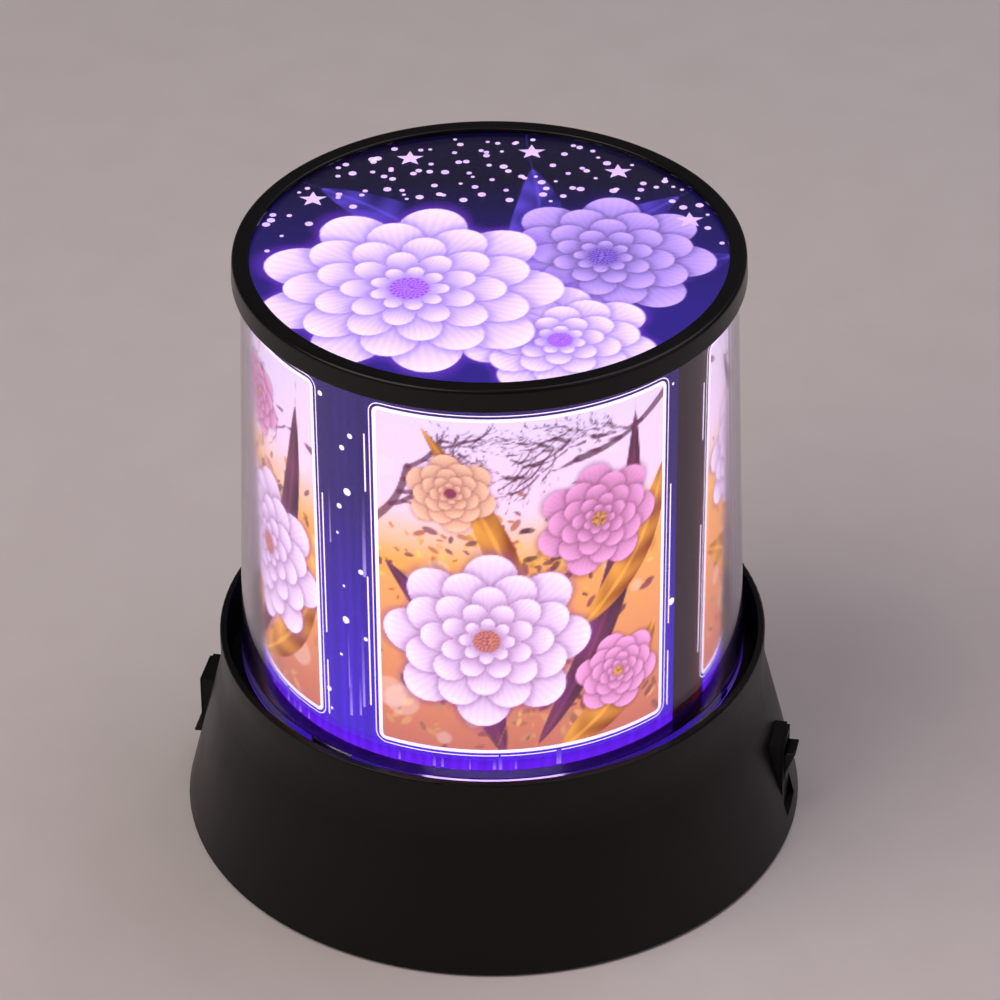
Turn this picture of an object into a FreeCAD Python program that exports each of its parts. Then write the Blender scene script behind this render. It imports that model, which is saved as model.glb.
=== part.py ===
import FreeCAD, Part
import math
import os
import re

import Sketcher

# Rotating photo lamp: a flared base with two rocker switches, and a lit drum that turns on it.
# Millimetres. +Z is up, the origin is the middle of the base on the table,
# +X carries the light switch, -X the motor switch and +Y the power inlet.

SIZES = {
    # shell of the base
    "base_foot_radius": 57.4,
    "rim_radius": 50.3,
    "rim_height": 38.0,
    "waist_height": 29.5,
    "waist_blend": 28.0,
    "rim_wall": 1.2,
    "rim_round": 0.4,
    "shell_wall": 1.9,
    "foot_drop": 0.6,
    "deck_drop": 11.0,
    "deck_wall": 2.0,
    "blind_skin": 0.8,
    # hub that the drum turns on
    "hub_radius": 7.0,
    "hub_bore_radius": 4.0,
    "hub_rise": 1.2,
    "run_gap": 0.05,
    "axial_gap": 0.1,
    "washer_wall": 0.6,
    "washer_radius": 9.8,
    "bush_wall": 1.05,
    # bottom plate, its screws and its feet
    "plate_gap": 0.3,
    "plate_wall": 2.2,
    "screw_inset": 10.5,
    "post_radius": 3.2,
    "post_bay_gap": 0.6,
    "screw_radius": 1.3,
    "screw_length": 11.0,
    "screw_head_radius": 2.5,
    "screw_head_wall": 1.3,
    "screw_head_skin": 0.8,
    "slot_depth": 0.5,
    "slot_width": 0.5,
    "hole_gap": 0.2,
    "hole_end_gap": 0.5,
    "pad_radius": 3.8,
    "pad_inset": 5.0,
    "pad_seat": 0.6,
    # battery bay
    "cell_radius": 5.25,
    "cell_length": 43.4,
    "cell_tip_radius": 1.9,
    "cell_tip": 1.1,
    "cell_pitch": 10.7,
    "spring_room": 5.5,
    "bay_wall": 1.2,
    "bay_inset": 4.48,
    "bay_side_gap": 0.2,
    "cell_foot_gap": 0.2,
    "cell_head_gap": 0.7,
    "contact_wall": 0.4,
    "contact_width": 8.0,
    "spring_radius": 3.3,
    "spring_tip_radius": 2.0,
    "door_wall": 1.4,
    "door_lap": 1.0,
    "door_gap": 0.15,
    "door_slack": 0.1,
    "tab_width": 12.0,
    "tab_reach": 1.6,
    "tab_wall": 0.7,
    "door_ear": 7.5,
    "door_ear_width": 12.0,
    "door_screw_length": 7.0,
    "door_screw_inset": 3.2,
    "door_screw_head_wall": 0.6,
    "door_head_sink": 0.7,
    "door_boss_radius": 3.0,
    # rocker switches
    "switch_rise": 0.2,
    "seat_proud": 0.1,
    "seat_depth": 6.2,
    "seat_room": 6.0,
    "tunnel_room": 4.0,
    "bezel_wall": 0.6,
    "bezel_lap": 0.5,
    "seat_margin": 0.3,
    "frame_wall": 0.6,
    "frame_depth": 8.4,
    "frame_floor": 3.6,
    "frame_fit": 0.1,
    "rocker_length": 12.4,
    "rocker_width": 5.0,
    "rocker_end_gap": 0.5,
    "rocker_side_gap": 0.2,
    "rocker_tilt": 9.0,
    "rocker_end_rise": 2.7,
    "rocker_hollow": 0.9,
    "rocker_flank": 0.4,
    "rocker_draft": 0.5,
    "rocker_keel": 1.2,
    "rocker_keel_half": 1.9,
    "pivot_sink": 1.55,
    "pivot_pin_radius": 0.8,
    "pivot_pin_length": 0.7,
    "pivot_gap": 0.06,
    "blade_length": 5.0,
    "blade_width": 2.0,
    "blade_wall": 0.5,
    # power inlet
    "inlet_height": 12.0,
    "inlet_proud": 0.4,
    "inlet_nose_radius": 3.9,
    "inlet_bore_radius": 2.75,
    "inlet_bore_depth": 9.0,
    "inlet_pin_radius": 1.0,
    "inlet_pin_length": 8.0,
    "inlet_width": 9.0,
    "inlet_block_length": 8.5,
    "inlet_inset": 2.9,
    "inlet_hole_depth": 10.0,
    # drive
    "tooth_module": 0.6,
    "table_teeth": 72,
    "idler_small_teeth": 14,
    "idler_large_teeth": 40,
    "pinion_teeth": 12,
    "backlash": 0.14,
    "gear_space": 4.8,
    "gear_lift": 0.5,
    "large_gear_wall": 1.8,
    "table_gear_wall": 1.9,
    "idler_top_gap": 0.4,
    "idler_collar_radius": 2.5,
    "idler_boss_radius": 3.0,
    "pin_radius": 1.0,
    "pinion_angle": 10.0,
    "pinion_hole_gap": 0.4,
    "motor_radius": 10.0,
    "motor_can_wall": 8.0,
    "gearbox_wall": 8.0,
    "motor_lug_reach": 13.5,
    "motor_lug_radius": 3.0,
    "motor_lug_wall": 1.2,
    "motor_lug_drop": 1.8,
    "motor_boss_radius": 2.6,
    "motor_screw_radius": 0.9,
    "motor_screw_bite": 0.8,
    "motor_screw_head_radius": 1.8,
    "motor_screw_head_wall": 1.1,
    "shaft_radius": 1.5,
    # turntable
    "turntable_inset": 3.0,
    "turntable_wall": 1.6,
    "turntable_hub_radius": 10.0,
    "lug_width": 8.0,
    "lug_wall": 1.1,
    "lug_gap": 0.3,
    "lug_drop": 0.2,
    "bush_rise": 0.2,
    # drum
    "lamp_height": 117.9,
    "drum_gap": 0.1,
    "moat_gap": 2.65,
    "sleeve_top_radius": 43.85,
    "sleeve_wall": 1.5,
    "ledge_wall": 2.0,
    "ledge_reach": 2.65,
    "ring_height": 4.3,
    "ring_wall": 1.65,
    "ring_draft": 0.2,
    "ring_lip": 1.65,
    "ring_flange": 1.0,
    "ring_fit": 0.08,
    "ring_round": 0.4,
    "window_wall": 1.2,
    "window_gap": 0.2,
    "print_wall": 0.25,
    "print_gap": 0.4,
    "film_wall": 0.3,
    "film_gap": 0.2,
    "film_top_gap": 0.2,
    "overlap_start": 61.0,
    "overlap_span": 13.5,
    # lamp inside the drum
    "post_flange_radius": 16.0,
    "post_flange_wall": 2.0,
    "column_radius": 3.6,
    "column_bore_radius": 2.0,
    "column_height": 8.4,
    "post_screw_reach": 5.5,
    "post_screw_radius": 0.8,
    "post_screw_head_radius": 1.6,
    "post_screw_head_wall": 1.0,
    "post_hole_gap": 0.1,
    "post_screw_depth": 6.0,
    "led_board_radius": 10.0,
    "led_board_bore": 1.8,
    "board_wall": 1.2,
    "led_radius": 1.8,
    "led_reach": 7.0,
    "led_rise": 1.0,
    "dome_radius": 15.2,
    "dome_wall": 1.2,
    "dome_height": 29.4,
    "dome_round": 10.0,
    # control board and wires
    "control_length": 28.0,
    "control_width": 20.0,
    "control_inset": 12.0,
    "board_screw_inset": 3.0,
    "chip_length": 6.0,
    "chip_width": 5.0,
    "chip_wall": 1.5,
    "capacitor_radius": 2.0,
    "capacitor_height": 4.0,
    "capacitor_x": 6.5,
    "capacitor_y": 5.0,
    "standoff_rise": 1.6,
    "standoff_radius": 2.0,
    "wire_radius": 0.8,
    "wire_bend": 2.4,
    "wire_rise": 4.8,
    "wire_run": 6.0,
    "led_tap_y": 7.0,
    "motor_tap_drop": 12.0,
    "motor_tap_run": 5.5,
    "motor_turn_x": 4.0,
    "motor_turn_y": 3.0,
    "motor_tap_x": 8.0,
    "motor_tap_y": 5.0,
    "inlet_turn_x": 9.0,
    "inlet_turn_y": 8.0,
    "inlet_tap_x": 10.5,
    "inlet_tap_y": 6.0,
    "switch_turn_inset": 1.0,
    "switch_turn_y": 6.0,
    "switch_tap_inset": 2.0,
    "switch_tap_y": 5.0,
    "battery_tap_x": 6.0,
    "battery_tap_y": 4.0,
    "battery_tap_inset": 6.0,
}

POST_COUNT = 4
CELL_COUNT = 4
LUG_COUNT = 3
LED_COUNT = 6

# Places worked out from the sizes above.
PLACES = {
    "flare_slope": "(base_foot_radius - rim_radius) / (waist_height - foot_drop)",
    "flare_length": "sqrt(1 + flare_slope ^ 2)",
    "blend_run": "waist_blend * flare_slope / (1 + flare_length)",
    "inner_foot_radius": "base_foot_radius - shell_wall",
    "deck_top": "rim_height - deck_drop",
    "deck_under": "deck_top - deck_wall",
    "plate_top": "foot_drop + plate_wall",
    "plate_radius": "inner_foot_radius - flare_slope * plate_wall - plate_gap",
    "post_bay_reach": "(bay_half + bay_wall + post_bay_gap + post_radius) / cos(45)",
    "post_reach": "max(plate_radius - screw_inset; post_bay_reach)",
    "head_top": "plate_top - screw_head_skin",
    "washer_top": "deck_top + washer_wall",
    "table_hub_under": "washer_top + axial_gap",
    "bush_radius": "hub_radius + run_gap + bush_wall",
    "table_under": "deck_top + gear_space",
    "table_top": "table_under + turntable_wall",
    "sleeve_foot_radius": "rim_radius - rim_wall - moat_gap",
    "table_radius": "sleeve_foot_radius - turntable_inset",
    "hub_top": "table_top + hub_rise",
    "drum_floor": "table_top + drum_gap",
    "ledge_top": "drum_floor + ledge_wall",
    "flange_under": "lamp_height - ring_flange",
    "window_under": "flange_under - window_wall",
    "sleeve_top": "window_under - print_wall",
    "sleeve_slope": "(sleeve_foot_radius - sleeve_top_radius) / (sleeve_top - drum_floor)",
    "ring_under": "lamp_height - ring_height",
    "sleeve_lean": "sleeve_slope * (sleeve_top - ring_under)",
    "skirt_radius": "sleeve_top_radius + max(0; sleeve_lean) + ring_fit",
    "ring_foot_radius": "sleeve_top_radius + ring_wall",
    "ring_top_radius": "ring_foot_radius - ring_draft",
    "ring_bore_radius": "sleeve_top_radius - ring_lip",
    "ledge_bore": "sleeve_foot_radius - sleeve_slope * ledge_wall - sleeve_wall",
    "film_radius": "min(ledge_bore; sleeve_top_radius - sleeve_wall) - film_gap",
    "ledge_radius": "film_radius - ledge_reach",
    "bay_half": "(cell_length + cell_tip + spring_room) / 2",
    "bay_end": "bay_wall - sqrt((plate_radius - bay_inset) ^ 2 - (bay_half + bay_wall) ^ 2)",
    "bay_start": f"bay_end + {CELL_COUNT} * cell_pitch + bay_side_gap",
    "cell_height": "plate_top + cell_foot_gap + cell_radius",
    "bay_roof": "cell_height + cell_radius + cell_head_gap",
    "door_screw_y": "bay_start + door_ear - door_screw_inset",
    "frame_half_height": "rocker_length / 2 + rocker_end_gap + frame_wall",
    "frame_half_width": "rocker_width / 2 + rocker_side_gap + frame_wall",
    "seat_half_height": "frame_half_height + bezel_lap + seat_margin",
    "switch_height": "plate_top + switch_rise + seat_half_height",
    "seat_radius": "base_foot_radius - flare_slope * (switch_height - foot_drop) + seat_proud",
    "bezel_front": "seat_radius + bezel_wall",
    "pivot_reach": "bezel_front - pivot_sink",
    "frame_back": "seat_radius - frame_depth",
    "inlet_front": "base_foot_radius - flare_slope * (inlet_height - foot_drop) + inlet_proud",
    "inlet_block_front": "inlet_front - shell_wall - inlet_inset",
    "idler_reach": "(table_teeth + idler_small_teeth) * tooth_module / 2",
    "pinion_reach": "(idler_large_teeth + pinion_teeth) * tooth_module / 2",
    "motor_x": "pinion_reach * cos(pinion_angle)",
    "motor_y": "idler_reach - pinion_reach * sin(pinion_angle)",
    "large_gear_under": "deck_top + gear_lift",
    "large_gear_top": "large_gear_under + large_gear_wall",
    "table_gear_under": "table_under - table_gear_wall",
    "lug_radius": "ledge_radius + lug_gap + lug_wall",
    "flange_top": "hub_top + post_flange_wall",
    "column_top": "flange_top + column_height",
    "control_y": "bay_start - control_inset - control_width / 2",
    "control_under": "bay_roof + bay_wall + standoff_rise",
    "control_top": "control_under + board_wall",
}

WORD = re.compile(r"[A-Za-z_]\w*")

doc = FreeCAD.newDocument("photo_lamp")
sheet = doc.addObject("Spreadsheet::Sheet", "Sizes")
for row, (alias, number) in enumerate(SIZES.items(), start=1):
    sheet.set(f"A{row}", alias)
    sheet.set(f"B{row}", str(number))
    sheet.setAlias(f"B{row}", alias)
doc.recompute()


def expand(text):
    """Write the named sizes and places in a formula as cells of the sheet."""
    def swap(match):
        word = match.group(0)
        if word in PLACES:
            return "(" + expand(PLACES[word]) + ")"
        return "Sizes." + word if word in SIZES else word
    return WORD.sub(swap, str(text))


def value(text):
    return float(sheet.evalExpression(expand(text)))


def bind(thing, name, text):
    thing.setExpression(name, expand(text))


def vector(x, y, z):
    return FreeCAD.Vector(value(x), value(y), value(z))


# Bodies made from sketches.

def new_body(name):
    body = doc.addObject("PartDesign::Body", name)
    body.Label = name
    return body


def origin_feature(body, role):
    return next(item for item in body.Origin.OriginFeatures if item.Role == role)


def new_sketch(body, role, offset="0"):
    sketch = body.newObject("Sketcher::SketchObject", "Sketch")
    sketch.AttachmentSupport = (origin_feature(body, role), "")
    sketch.MapMode = "FlatFace"
    bind(sketch, "AttachmentOffset.Base.z", offset)
    return sketch


def pin_point(sketch, index, point, x, y):
    """Hold one point of a sketch at a place given by two formulas."""
    for kind, text in (("DistanceX", x), ("DistanceY", y)):
        number = sketch.addConstraint(Sketcher.Constraint(kind, -1, 1, index, point, value(text)))
        sketch.setExpression(f"Constraints[{number}]", expand(text))


def hollow_arc(first, last, radius, centre):
    angles = [math.atan2(point.y - centre.y, point.x - centre.x) for point in (last, first)]
    return Part.ArcOfCircle(Part.Circle(centre, FreeCAD.Vector(0, 0, 1), radius), *angles)


def draw_outline(sketch, corners, hollows=None):
    """Closed outline, drawn anticlockwise.

    hollows gives the radius and the centre of each side that is a hollow arc.
    """
    hollows = hollows or {}
    start = sketch.GeometryCount
    points = [vector(x, y, 0) for x, y in corners]
    count = len(points)
    for index in range(count):
        first, last = points[index], points[(index + 1) % count]
        if index in hollows:
            radius, x, y = hollows[index]
            side = hollow_arc(first, last, value(radius), vector(x, y, 0))
        else:
            side = Part.LineSegment(first, last)
        sketch.addGeometry(side, False)
    for index in range(count):
        following = (index + 1) % count
        sketch.addConstraint(Sketcher.Constraint(
            "Coincident", start + index, 1 if index in hollows else 2,
            start + following, 2 if following in hollows else 1))
    for index, (x, y) in enumerate(corners):
        pin_point(sketch, start + index, 2 if index in hollows else 1, x, y)
    for index, (radius, _, _) in hollows.items():
        number = sketch.addConstraint(
            Sketcher.Constraint("Radius", start + index, value(radius)))
        sketch.setExpression(f"Constraints[{number}]", expand(radius))


def draw_circle(sketch, x, y, radius):
    index = sketch.addGeometry(
        Part.Circle(vector(x, y, 0), FreeCAD.Vector(0, 0, 1), value(radius)), False)
    pin_point(sketch, index, 3, x, y)
    number = sketch.addConstraint(Sketcher.Constraint("Radius", index, value(radius)))
    sketch.setExpression(f"Constraints[{number}]", expand(radius))


def rectangle(x_low, x_high, y_low, y_high):
    return [(x_low, y_low), (x_high, y_low), (x_high, y_high), (x_low, y_high)]


def revolve(body, corners, angle="360", hollows=None):
    sketch = new_sketch(body, "XZ_Plane")
    draw_outline(sketch, corners, hollows)
    turned = body.newObject("PartDesign::Revolution", "Revolution")
    turned.Profile = sketch
    turned.ReferenceAxis = (sketch, ["V_Axis"])
    bind(turned, "Angle", angle)
    doc.recompute()
    return turned


def extrude(body, kind, sketch, length, reverse=False):
    """Pad or pocket a sketch, and make sure that it changed the body."""
    before = body.Shape.Volume if body.Tip else 0
    feature = body.newObject("PartDesign::" + kind, kind)
    feature.Profile = sketch
    feature.Reversed = reverse
    bind(feature, "Length", length)
    doc.recompute()
    if abs(body.Shape.Volume - before) < 1e-6:
        raise ValueError(f"{body.Label}: {kind} changed nothing")
    return feature


def polar(body, feature, count):
    pattern = body.newObject("PartDesign::PolarPattern", "PolarPattern")
    pattern.Originals = [feature]
    pattern.Axis = (origin_feature(body, "Z_Axis"), [""])
    pattern.Angle = 360
    pattern.Occurrences = count
    body.Tip = pattern
    doc.recompute()


def round_edges(body, radius, rings):
    """Fillet the circular edges at the given radii and heights."""
    wanted = [(value(ring), value(height)) for ring, height in rings]
    base = body.Tip
    names = []
    for number, edge in enumerate(base.Shape.Edges, start=1):
        if not isinstance(edge.Curve, Part.Circle):
            continue
        found = (edge.Curve.Radius, edge.Curve.Center.z)
        if any(math.dist(found, place) < 1e-4 for place in wanted):
            names.append(f"Edge{number}")
    fillet = body.newObject("PartDesign::Fillet", "Fillet")
    fillet.Base = (base, names)
    bind(fillet, "Radius", radius)
    doc.recompute()


def lathe(name, corners, hollows=None):
    body = new_body(name)
    revolve(body, corners, hollows=hollows)
    return body


# Primitives and booleans.

def box(name, x_low, x_high, y_low, y_high, z_low, z_high):
    made = doc.addObject("Part::Box", name)
    made.Label = name
    for side, low, high in (("Length", x_low, x_high), ("Width", y_low, y_high),
                            ("Height", z_low, z_high)):
        bind(made, side, f"({high}) - ({low})")
    place(made, x_low, y_low, z_low)
    return made


def place(made, x, y, z):
    for axis, text in zip("xyz", (x, y, z)):
        bind(made, "Placement.Base." + axis, text)


ALONG = {"X": ((0, 1, 0), 90), "Y": ((1, 0, 0), -90), "Z": ((0, 0, 1), 0)}


def rod(name, along, start, radius, length):
    made = doc.addObject("Part::Cylinder", name)
    made.Label = name
    axis, angle = ALONG[along]
    made.Placement = FreeCAD.Placement(
        FreeCAD.Vector(), FreeCAD.Rotation(FreeCAD.Vector(*axis), angle))
    place(made, *start)
    bind(made, "Radius", radius)
    bind(made, "Height", length)
    return made


def cone(name, along, start, radius, end_radius, length):
    made = doc.addObject("Part::Cone", name)
    axis, angle = ALONG[along]
    made.Placement = FreeCAD.Placement(
        FreeCAD.Vector(), FreeCAD.Rotation(FreeCAD.Vector(*axis), angle))
    place(made, *start)
    bind(made, "Radius1", radius)
    bind(made, "Radius2", end_radius)
    bind(made, "Height", length)
    return made


def fuse(name, pieces):
    made = doc.addObject("Part::MultiFuse", name)
    made.Label = name
    made.Shapes = pieces
    made.Refine = True
    return made


def cut(name, base, tools):
    made = doc.addObject("Part::Cut", name)
    made.Label = name
    made.Base = base
    made.Tool = tools[0] if len(tools) == 1 else fuse(name + "_tools", tools)
    made.Refine = True
    return made


def group(name, pieces):
    made = doc.addObject("Part::Compound", name)
    made.Label = name
    made.Links = pieces
    return made


def solid(name, shape):
    made = doc.addObject("Part::Feature", name)
    made.Label = name
    made.Shape = shape
    return made


def corner_places(count, reach, first_angle):
    """Formulas for places spread evenly on a circle."""
    angles = [first_angle + 360 * index / count for index in range(count)]
    return [(f"({reach}) * cos({angle})", f"({reach}) * sin({angle})") for angle in angles]


# Base shell.

def base_housing():
    body = lathe("base_housing", [
        ("base_foot_radius", "foot_drop"),
        ("rim_radius + blend_run * flare_slope / flare_length",
         "waist_height - blend_run / flare_length"),
        ("rim_radius", "waist_height + blend_run"),
        ("rim_radius", "rim_height"),
        ("rim_radius - rim_wall", "rim_height"),
        ("rim_radius - rim_wall", "deck_top"),
        ("hub_radius", "deck_top"),
        ("hub_radius", "hub_top"),
        ("hub_bore_radius", "hub_top"),
        ("hub_bore_radius", "deck_under"),
        ("rim_radius - shell_wall", "deck_under"),
        ("inner_foot_radius", "foot_drop"),
    ], {1: ("waist_blend", "rim_radius + waist_blend", "waist_height + blend_run")})
    round_edges(body, "rim_round", [("rim_radius", "rim_height")])
    add_screw_posts(body)
    add_drive_seats(body)
    for side in (1, -1):
        add_switch_seat(body, side)
    sketch = new_sketch(body, "XZ_Plane", "-(inlet_front - inlet_hole_depth)")
    draw_circle(sketch, "0", "inlet_height", "inlet_nose_radius + frame_fit")
    extrude(body, "Pocket", sketch, "2 * inlet_hole_depth")
    return body


def add_screw_posts(body):
    spots = corner_places(POST_COUNT, "post_reach", 45)
    sketch = new_sketch(body, "XY_Plane", "plate_top")
    for x, y in spots:
        draw_circle(sketch, x, y, "post_radius")
    extrude(body, "Pad", sketch, "deck_under - plate_top")
    sketch = new_sketch(body, "XY_Plane", "plate_top")
    for x, y in spots:
        draw_circle(sketch, x, y, "screw_radius")
    extrude(body, "Pocket", sketch, "screw_length", reverse=True)


def add_drive_seats(body):
    """Bosses under the deck for the motor and the idler pin, and the holes through it."""
    lugs = [f"motor_y + ({side} * motor_lug_reach)" for side in (1, -1)]
    sketch = new_sketch(body, "XY_Plane", "deck_under - motor_lug_drop")
    for y in lugs:
        draw_circle(sketch, "motor_x", y, "motor_boss_radius")
    draw_circle(sketch, "0", "idler_reach", "idler_boss_radius")
    extrude(body, "Pad", sketch, "motor_lug_drop")
    sketch = new_sketch(body, "XY_Plane", "deck_under - motor_lug_drop")
    for y in lugs:
        draw_circle(sketch, "motor_x", y, "motor_screw_radius")
    extrude(body, "Pocket", sketch, "motor_lug_drop + deck_wall - blind_skin", reverse=True)
    sketch = new_sketch(body, "XY_Plane", "deck_top")
    draw_circle(sketch, "0", "idler_reach", "pin_radius")
    extrude(body, "Pocket", sketch, "deck_wall + motor_lug_drop - blind_skin")
    sketch = new_sketch(body, "XY_Plane", "deck_top")
    draw_circle(sketch, "motor_x", "motor_y", "(pinion_teeth / 2 + 1) * tooth_module + pinion_hole_gap")
    extrude(body, "Pocket", sketch, "deck_wall")
    sketch = new_sketch(body, "XY_Plane", "hub_top")
    for side in (1, -1):
        draw_circle(sketch, f"{side} * post_screw_reach", "0", "post_screw_radius")
    extrude(body, "Pocket", sketch, "post_screw_depth")


def add_switch_seat(body, side):
    """An upright seat on the slanted wall, with a tunnel for the switch."""
    outward = side > 0
    back = f"{side} * (seat_radius - seat_depth)"
    lap = "bezel_lap + seat_margin"
    steps = [
        ("Pocket", back, "bezel_lap + frame_fit", "seat_depth + seat_room", outward),
        ("Pad", back, lap, "seat_depth", not outward),
        ("Pocket", f"{side} * (frame_back - tunnel_room)", "frame_fit",
         "tunnel_room + frame_depth + seat_room", outward),
    ]
    for kind, offset, margin, length, reverse in steps:
        sketch = new_sketch(body, "YZ_Plane", offset)
        draw_outline(sketch, rectangle(
            f"-(frame_half_width + {margin})", f"frame_half_width + {margin}",
            f"switch_height - frame_half_height - ({margin})",
            f"switch_height + frame_half_height + ({margin})"))
        extrude(body, kind, sketch, length, reverse)


# Bottom plate with the battery bay.

def base_plate():
    body = lathe("base_plate", rectangle("0", "plate_radius", "foot_drop", "plate_top"))
    bay = ("-(bay_half + bay_wall)", "bay_half + bay_wall",
           "bay_end - bay_wall", "bay_start + bay_wall")
    sketch = new_sketch(body, "XY_Plane", "plate_top")
    draw_outline(sketch, rectangle(*bay))
    extrude(body, "Pad", sketch, "bay_roof + bay_wall - plate_top")
    sketch = new_sketch(body, "XY_Plane", "foot_drop")
    draw_outline(sketch, rectangle("-bay_half", "bay_half", "bay_end", "bay_start"))
    extrude(body, "Pocket", sketch, "bay_roof - foot_drop", reverse=True)
    sketch = new_sketch(body, "XY_Plane", "foot_drop")
    draw_outline(sketch, door_outline("door_lap + door_gap", "door_gap"))
    extrude(body, "Pocket", sketch, "door_wall", reverse=True)
    sketch = new_sketch(body, "XY_Plane", "foot_drop + door_wall - tab_wall - door_slack")
    draw_outline(sketch, rectangle(
        "-(tab_width / 2 + door_gap)", "tab_width / 2 + door_gap",
        "bay_end - door_lap - tab_reach - 2 * door_gap", "bay_end"))
    extrude(body, "Pocket", sketch, "tab_wall + 2 * door_slack", reverse=True)
    add_door_boss(body)
    add_plate_holes(body)
    add_board_standoffs(body)
    return body


def door_outline(lap, gap):
    """The door is a rectangle with an ear for its screw on the inner side."""
    return [
        (f"-(bay_half + {lap})", f"bay_end - ({lap})"),
        (f"bay_half + {lap}", f"bay_end - ({lap})"),
        (f"bay_half + {lap}", f"bay_start + {lap}"),
        (f"door_ear_width / 2 + {gap}", f"bay_start + {lap}"),
        (f"door_ear_width / 2 + {gap}", f"bay_start + door_ear + {gap}"),
        (f"-(door_ear_width / 2 + {gap})", f"bay_start + door_ear + {gap}"),
        (f"-(door_ear_width / 2 + {gap})", f"bay_start + {lap}"),
        (f"-(bay_half + {lap})", f"bay_start + {lap}"),
    ]


def add_door_boss(body):
    sketch = new_sketch(body, "XY_Plane", "plate_top")
    draw_circle(sketch, "0", "door_screw_y", "door_boss_radius")
    extrude(body, "Pad", sketch, "door_screw_length")
    sketch = new_sketch(body, "XY_Plane", "foot_drop")
    draw_circle(sketch, "0", "door_screw_y", "screw_radius")
    extrude(body, "Pocket", sketch, "door_head_sink + door_screw_length + hole_end_gap",
            reverse=True)


def add_plate_holes(body):
    holes = [
        (corner_places(POST_COUNT, "post_reach", 45), "screw_radius + hole_gap", "plate_wall"),
        (corner_places(POST_COUNT, "post_reach", 45), "screw_head_radius + hole_gap",
         "head_top - foot_drop"),
        (corner_places(POST_COUNT, "plate_radius - pad_inset", 0), "pad_radius", "pad_seat"),
    ]
    for spots, radius, depth in holes:
        sketch = new_sketch(body, "XY_Plane", "foot_drop")
        for x, y in spots:
            draw_circle(sketch, x, y, radius)
        extrude(body, "Pocket", sketch, depth, reverse=True)


def board_screw_places():
    return [(f"{side} * (control_length / 2 - board_screw_inset)", "control_y")
            for side in (1, -1)]


def add_board_standoffs(body):
    sketch = new_sketch(body, "XY_Plane", "bay_roof + bay_wall")
    for x, y in board_screw_places():
        draw_circle(sketch, x, y, "standoff_radius")
    extrude(body, "Pad", sketch, "standoff_rise")


def battery_door():
    body = new_body("battery_door")
    sketch = new_sketch(body, "XY_Plane", "foot_drop")
    draw_outline(sketch, door_outline("door_lap", "0"))
    extrude(body, "Pad", sketch, "door_wall - door_slack")
    sketch = new_sketch(body, "XY_Plane", "foot_drop + door_wall - tab_wall")
    draw_outline(sketch, rectangle(
        "-tab_width / 2", "tab_width / 2", "bay_end - door_lap - tab_reach", "bay_end"))
    extrude(body, "Pad", sketch, "tab_wall - door_slack")
    sketch = new_sketch(body, "XY_Plane", "foot_drop")
    draw_circle(sketch, "0", "door_screw_y", "screw_radius + hole_gap")
    extrude(body, "Pocket", sketch, "door_wall", reverse=True)
    sketch = new_sketch(body, "XY_Plane", "foot_drop")
    draw_circle(sketch, "0", "door_screw_y", "screw_head_radius + hole_gap")
    extrude(body, "Pocket", sketch, "door_head_sink", reverse=True)
    return body


def screw(name, x, y, seat, length, radius, head_radius, head_wall, upward=True):
    """A pan-head screw whose head bears on the height named seat."""
    way = 1 if upward else -1
    low = seat if upward else f"({seat}) - ({length})"
    head_low = f"({seat}) - ({head_wall})" if upward else seat
    shank = rod(name + "_shank", "Z", (x, y, low), radius, length)
    head = rod(name + "_head", "Z", (x, y, head_low), head_radius, head_wall)
    whole = fuse(name + "_whole", [shank, head])
    slot_low = head_low if upward else f"({head_low}) + ({head_wall}) - slot_depth"
    arm = f"0.6 * {head_radius}"
    slots = [
        box(name + "_slot", f"({x}) - ({half_x})", f"({x}) + ({half_x})",
            f"({y}) - ({half_y})", f"({y}) + ({half_y})", slot_low, f"({slot_low}) + slot_depth")
        for half_x, half_y in ((arm, "slot_width / 2"), ("slot_width / 2", arm))
    ]
    return cut(name, whole, slots)


def fasteners():
    posts = corner_places(POST_COUNT, "post_reach", 45)
    group("base_screws", [
        screw(f"base_screw_{number}", x, y, "head_top", "screw_length", "screw_radius",
              "screw_head_radius", "screw_head_wall")
        for number, (x, y) in enumerate(posts, start=1)])
    screw("battery_door_screw", "0", "door_screw_y", "foot_drop + door_head_sink",
          "door_screw_length", "screw_radius", "screw_head_radius", "door_screw_head_wall")
    group("motor_screws", [
        screw(f"motor_screw_{side + 2}", "motor_x", f"motor_y + ({side} * motor_lug_reach)",
              "deck_under - motor_lug_drop - motor_lug_wall",
              "motor_lug_wall + motor_lug_drop + motor_screw_bite",
              "motor_screw_radius", "motor_screw_head_radius", "motor_screw_head_wall")
        for side in (1, -1)])
    group("post_screws", [
        screw(f"post_screw_{side + 2}", f"{side} * post_screw_reach", "0", "flange_top",
              "post_flange_wall + post_screw_depth - hole_end_gap", "post_screw_radius",
              "post_screw_head_radius", "post_screw_head_wall", upward=False)
        for side in (1, -1)])
    group("board_screws", [
        screw(f"board_screw_{number}", x, y, "control_top", "board_wall",
              "post_screw_radius", "post_screw_head_radius", "post_screw_head_wall",
              upward=False)
        for number, (x, y) in enumerate(board_screw_places(), start=1)])


def rubber_feet():
    spots = corner_places(POST_COUNT, "plate_radius - pad_inset", 0)
    group("rubber_feet", [
        rod(f"rubber_foot_{number}", "Z", (x, y, "0"), "pad_radius", "foot_drop + pad_seat")
        for number, (x, y) in enumerate(spots, start=1)])


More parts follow.
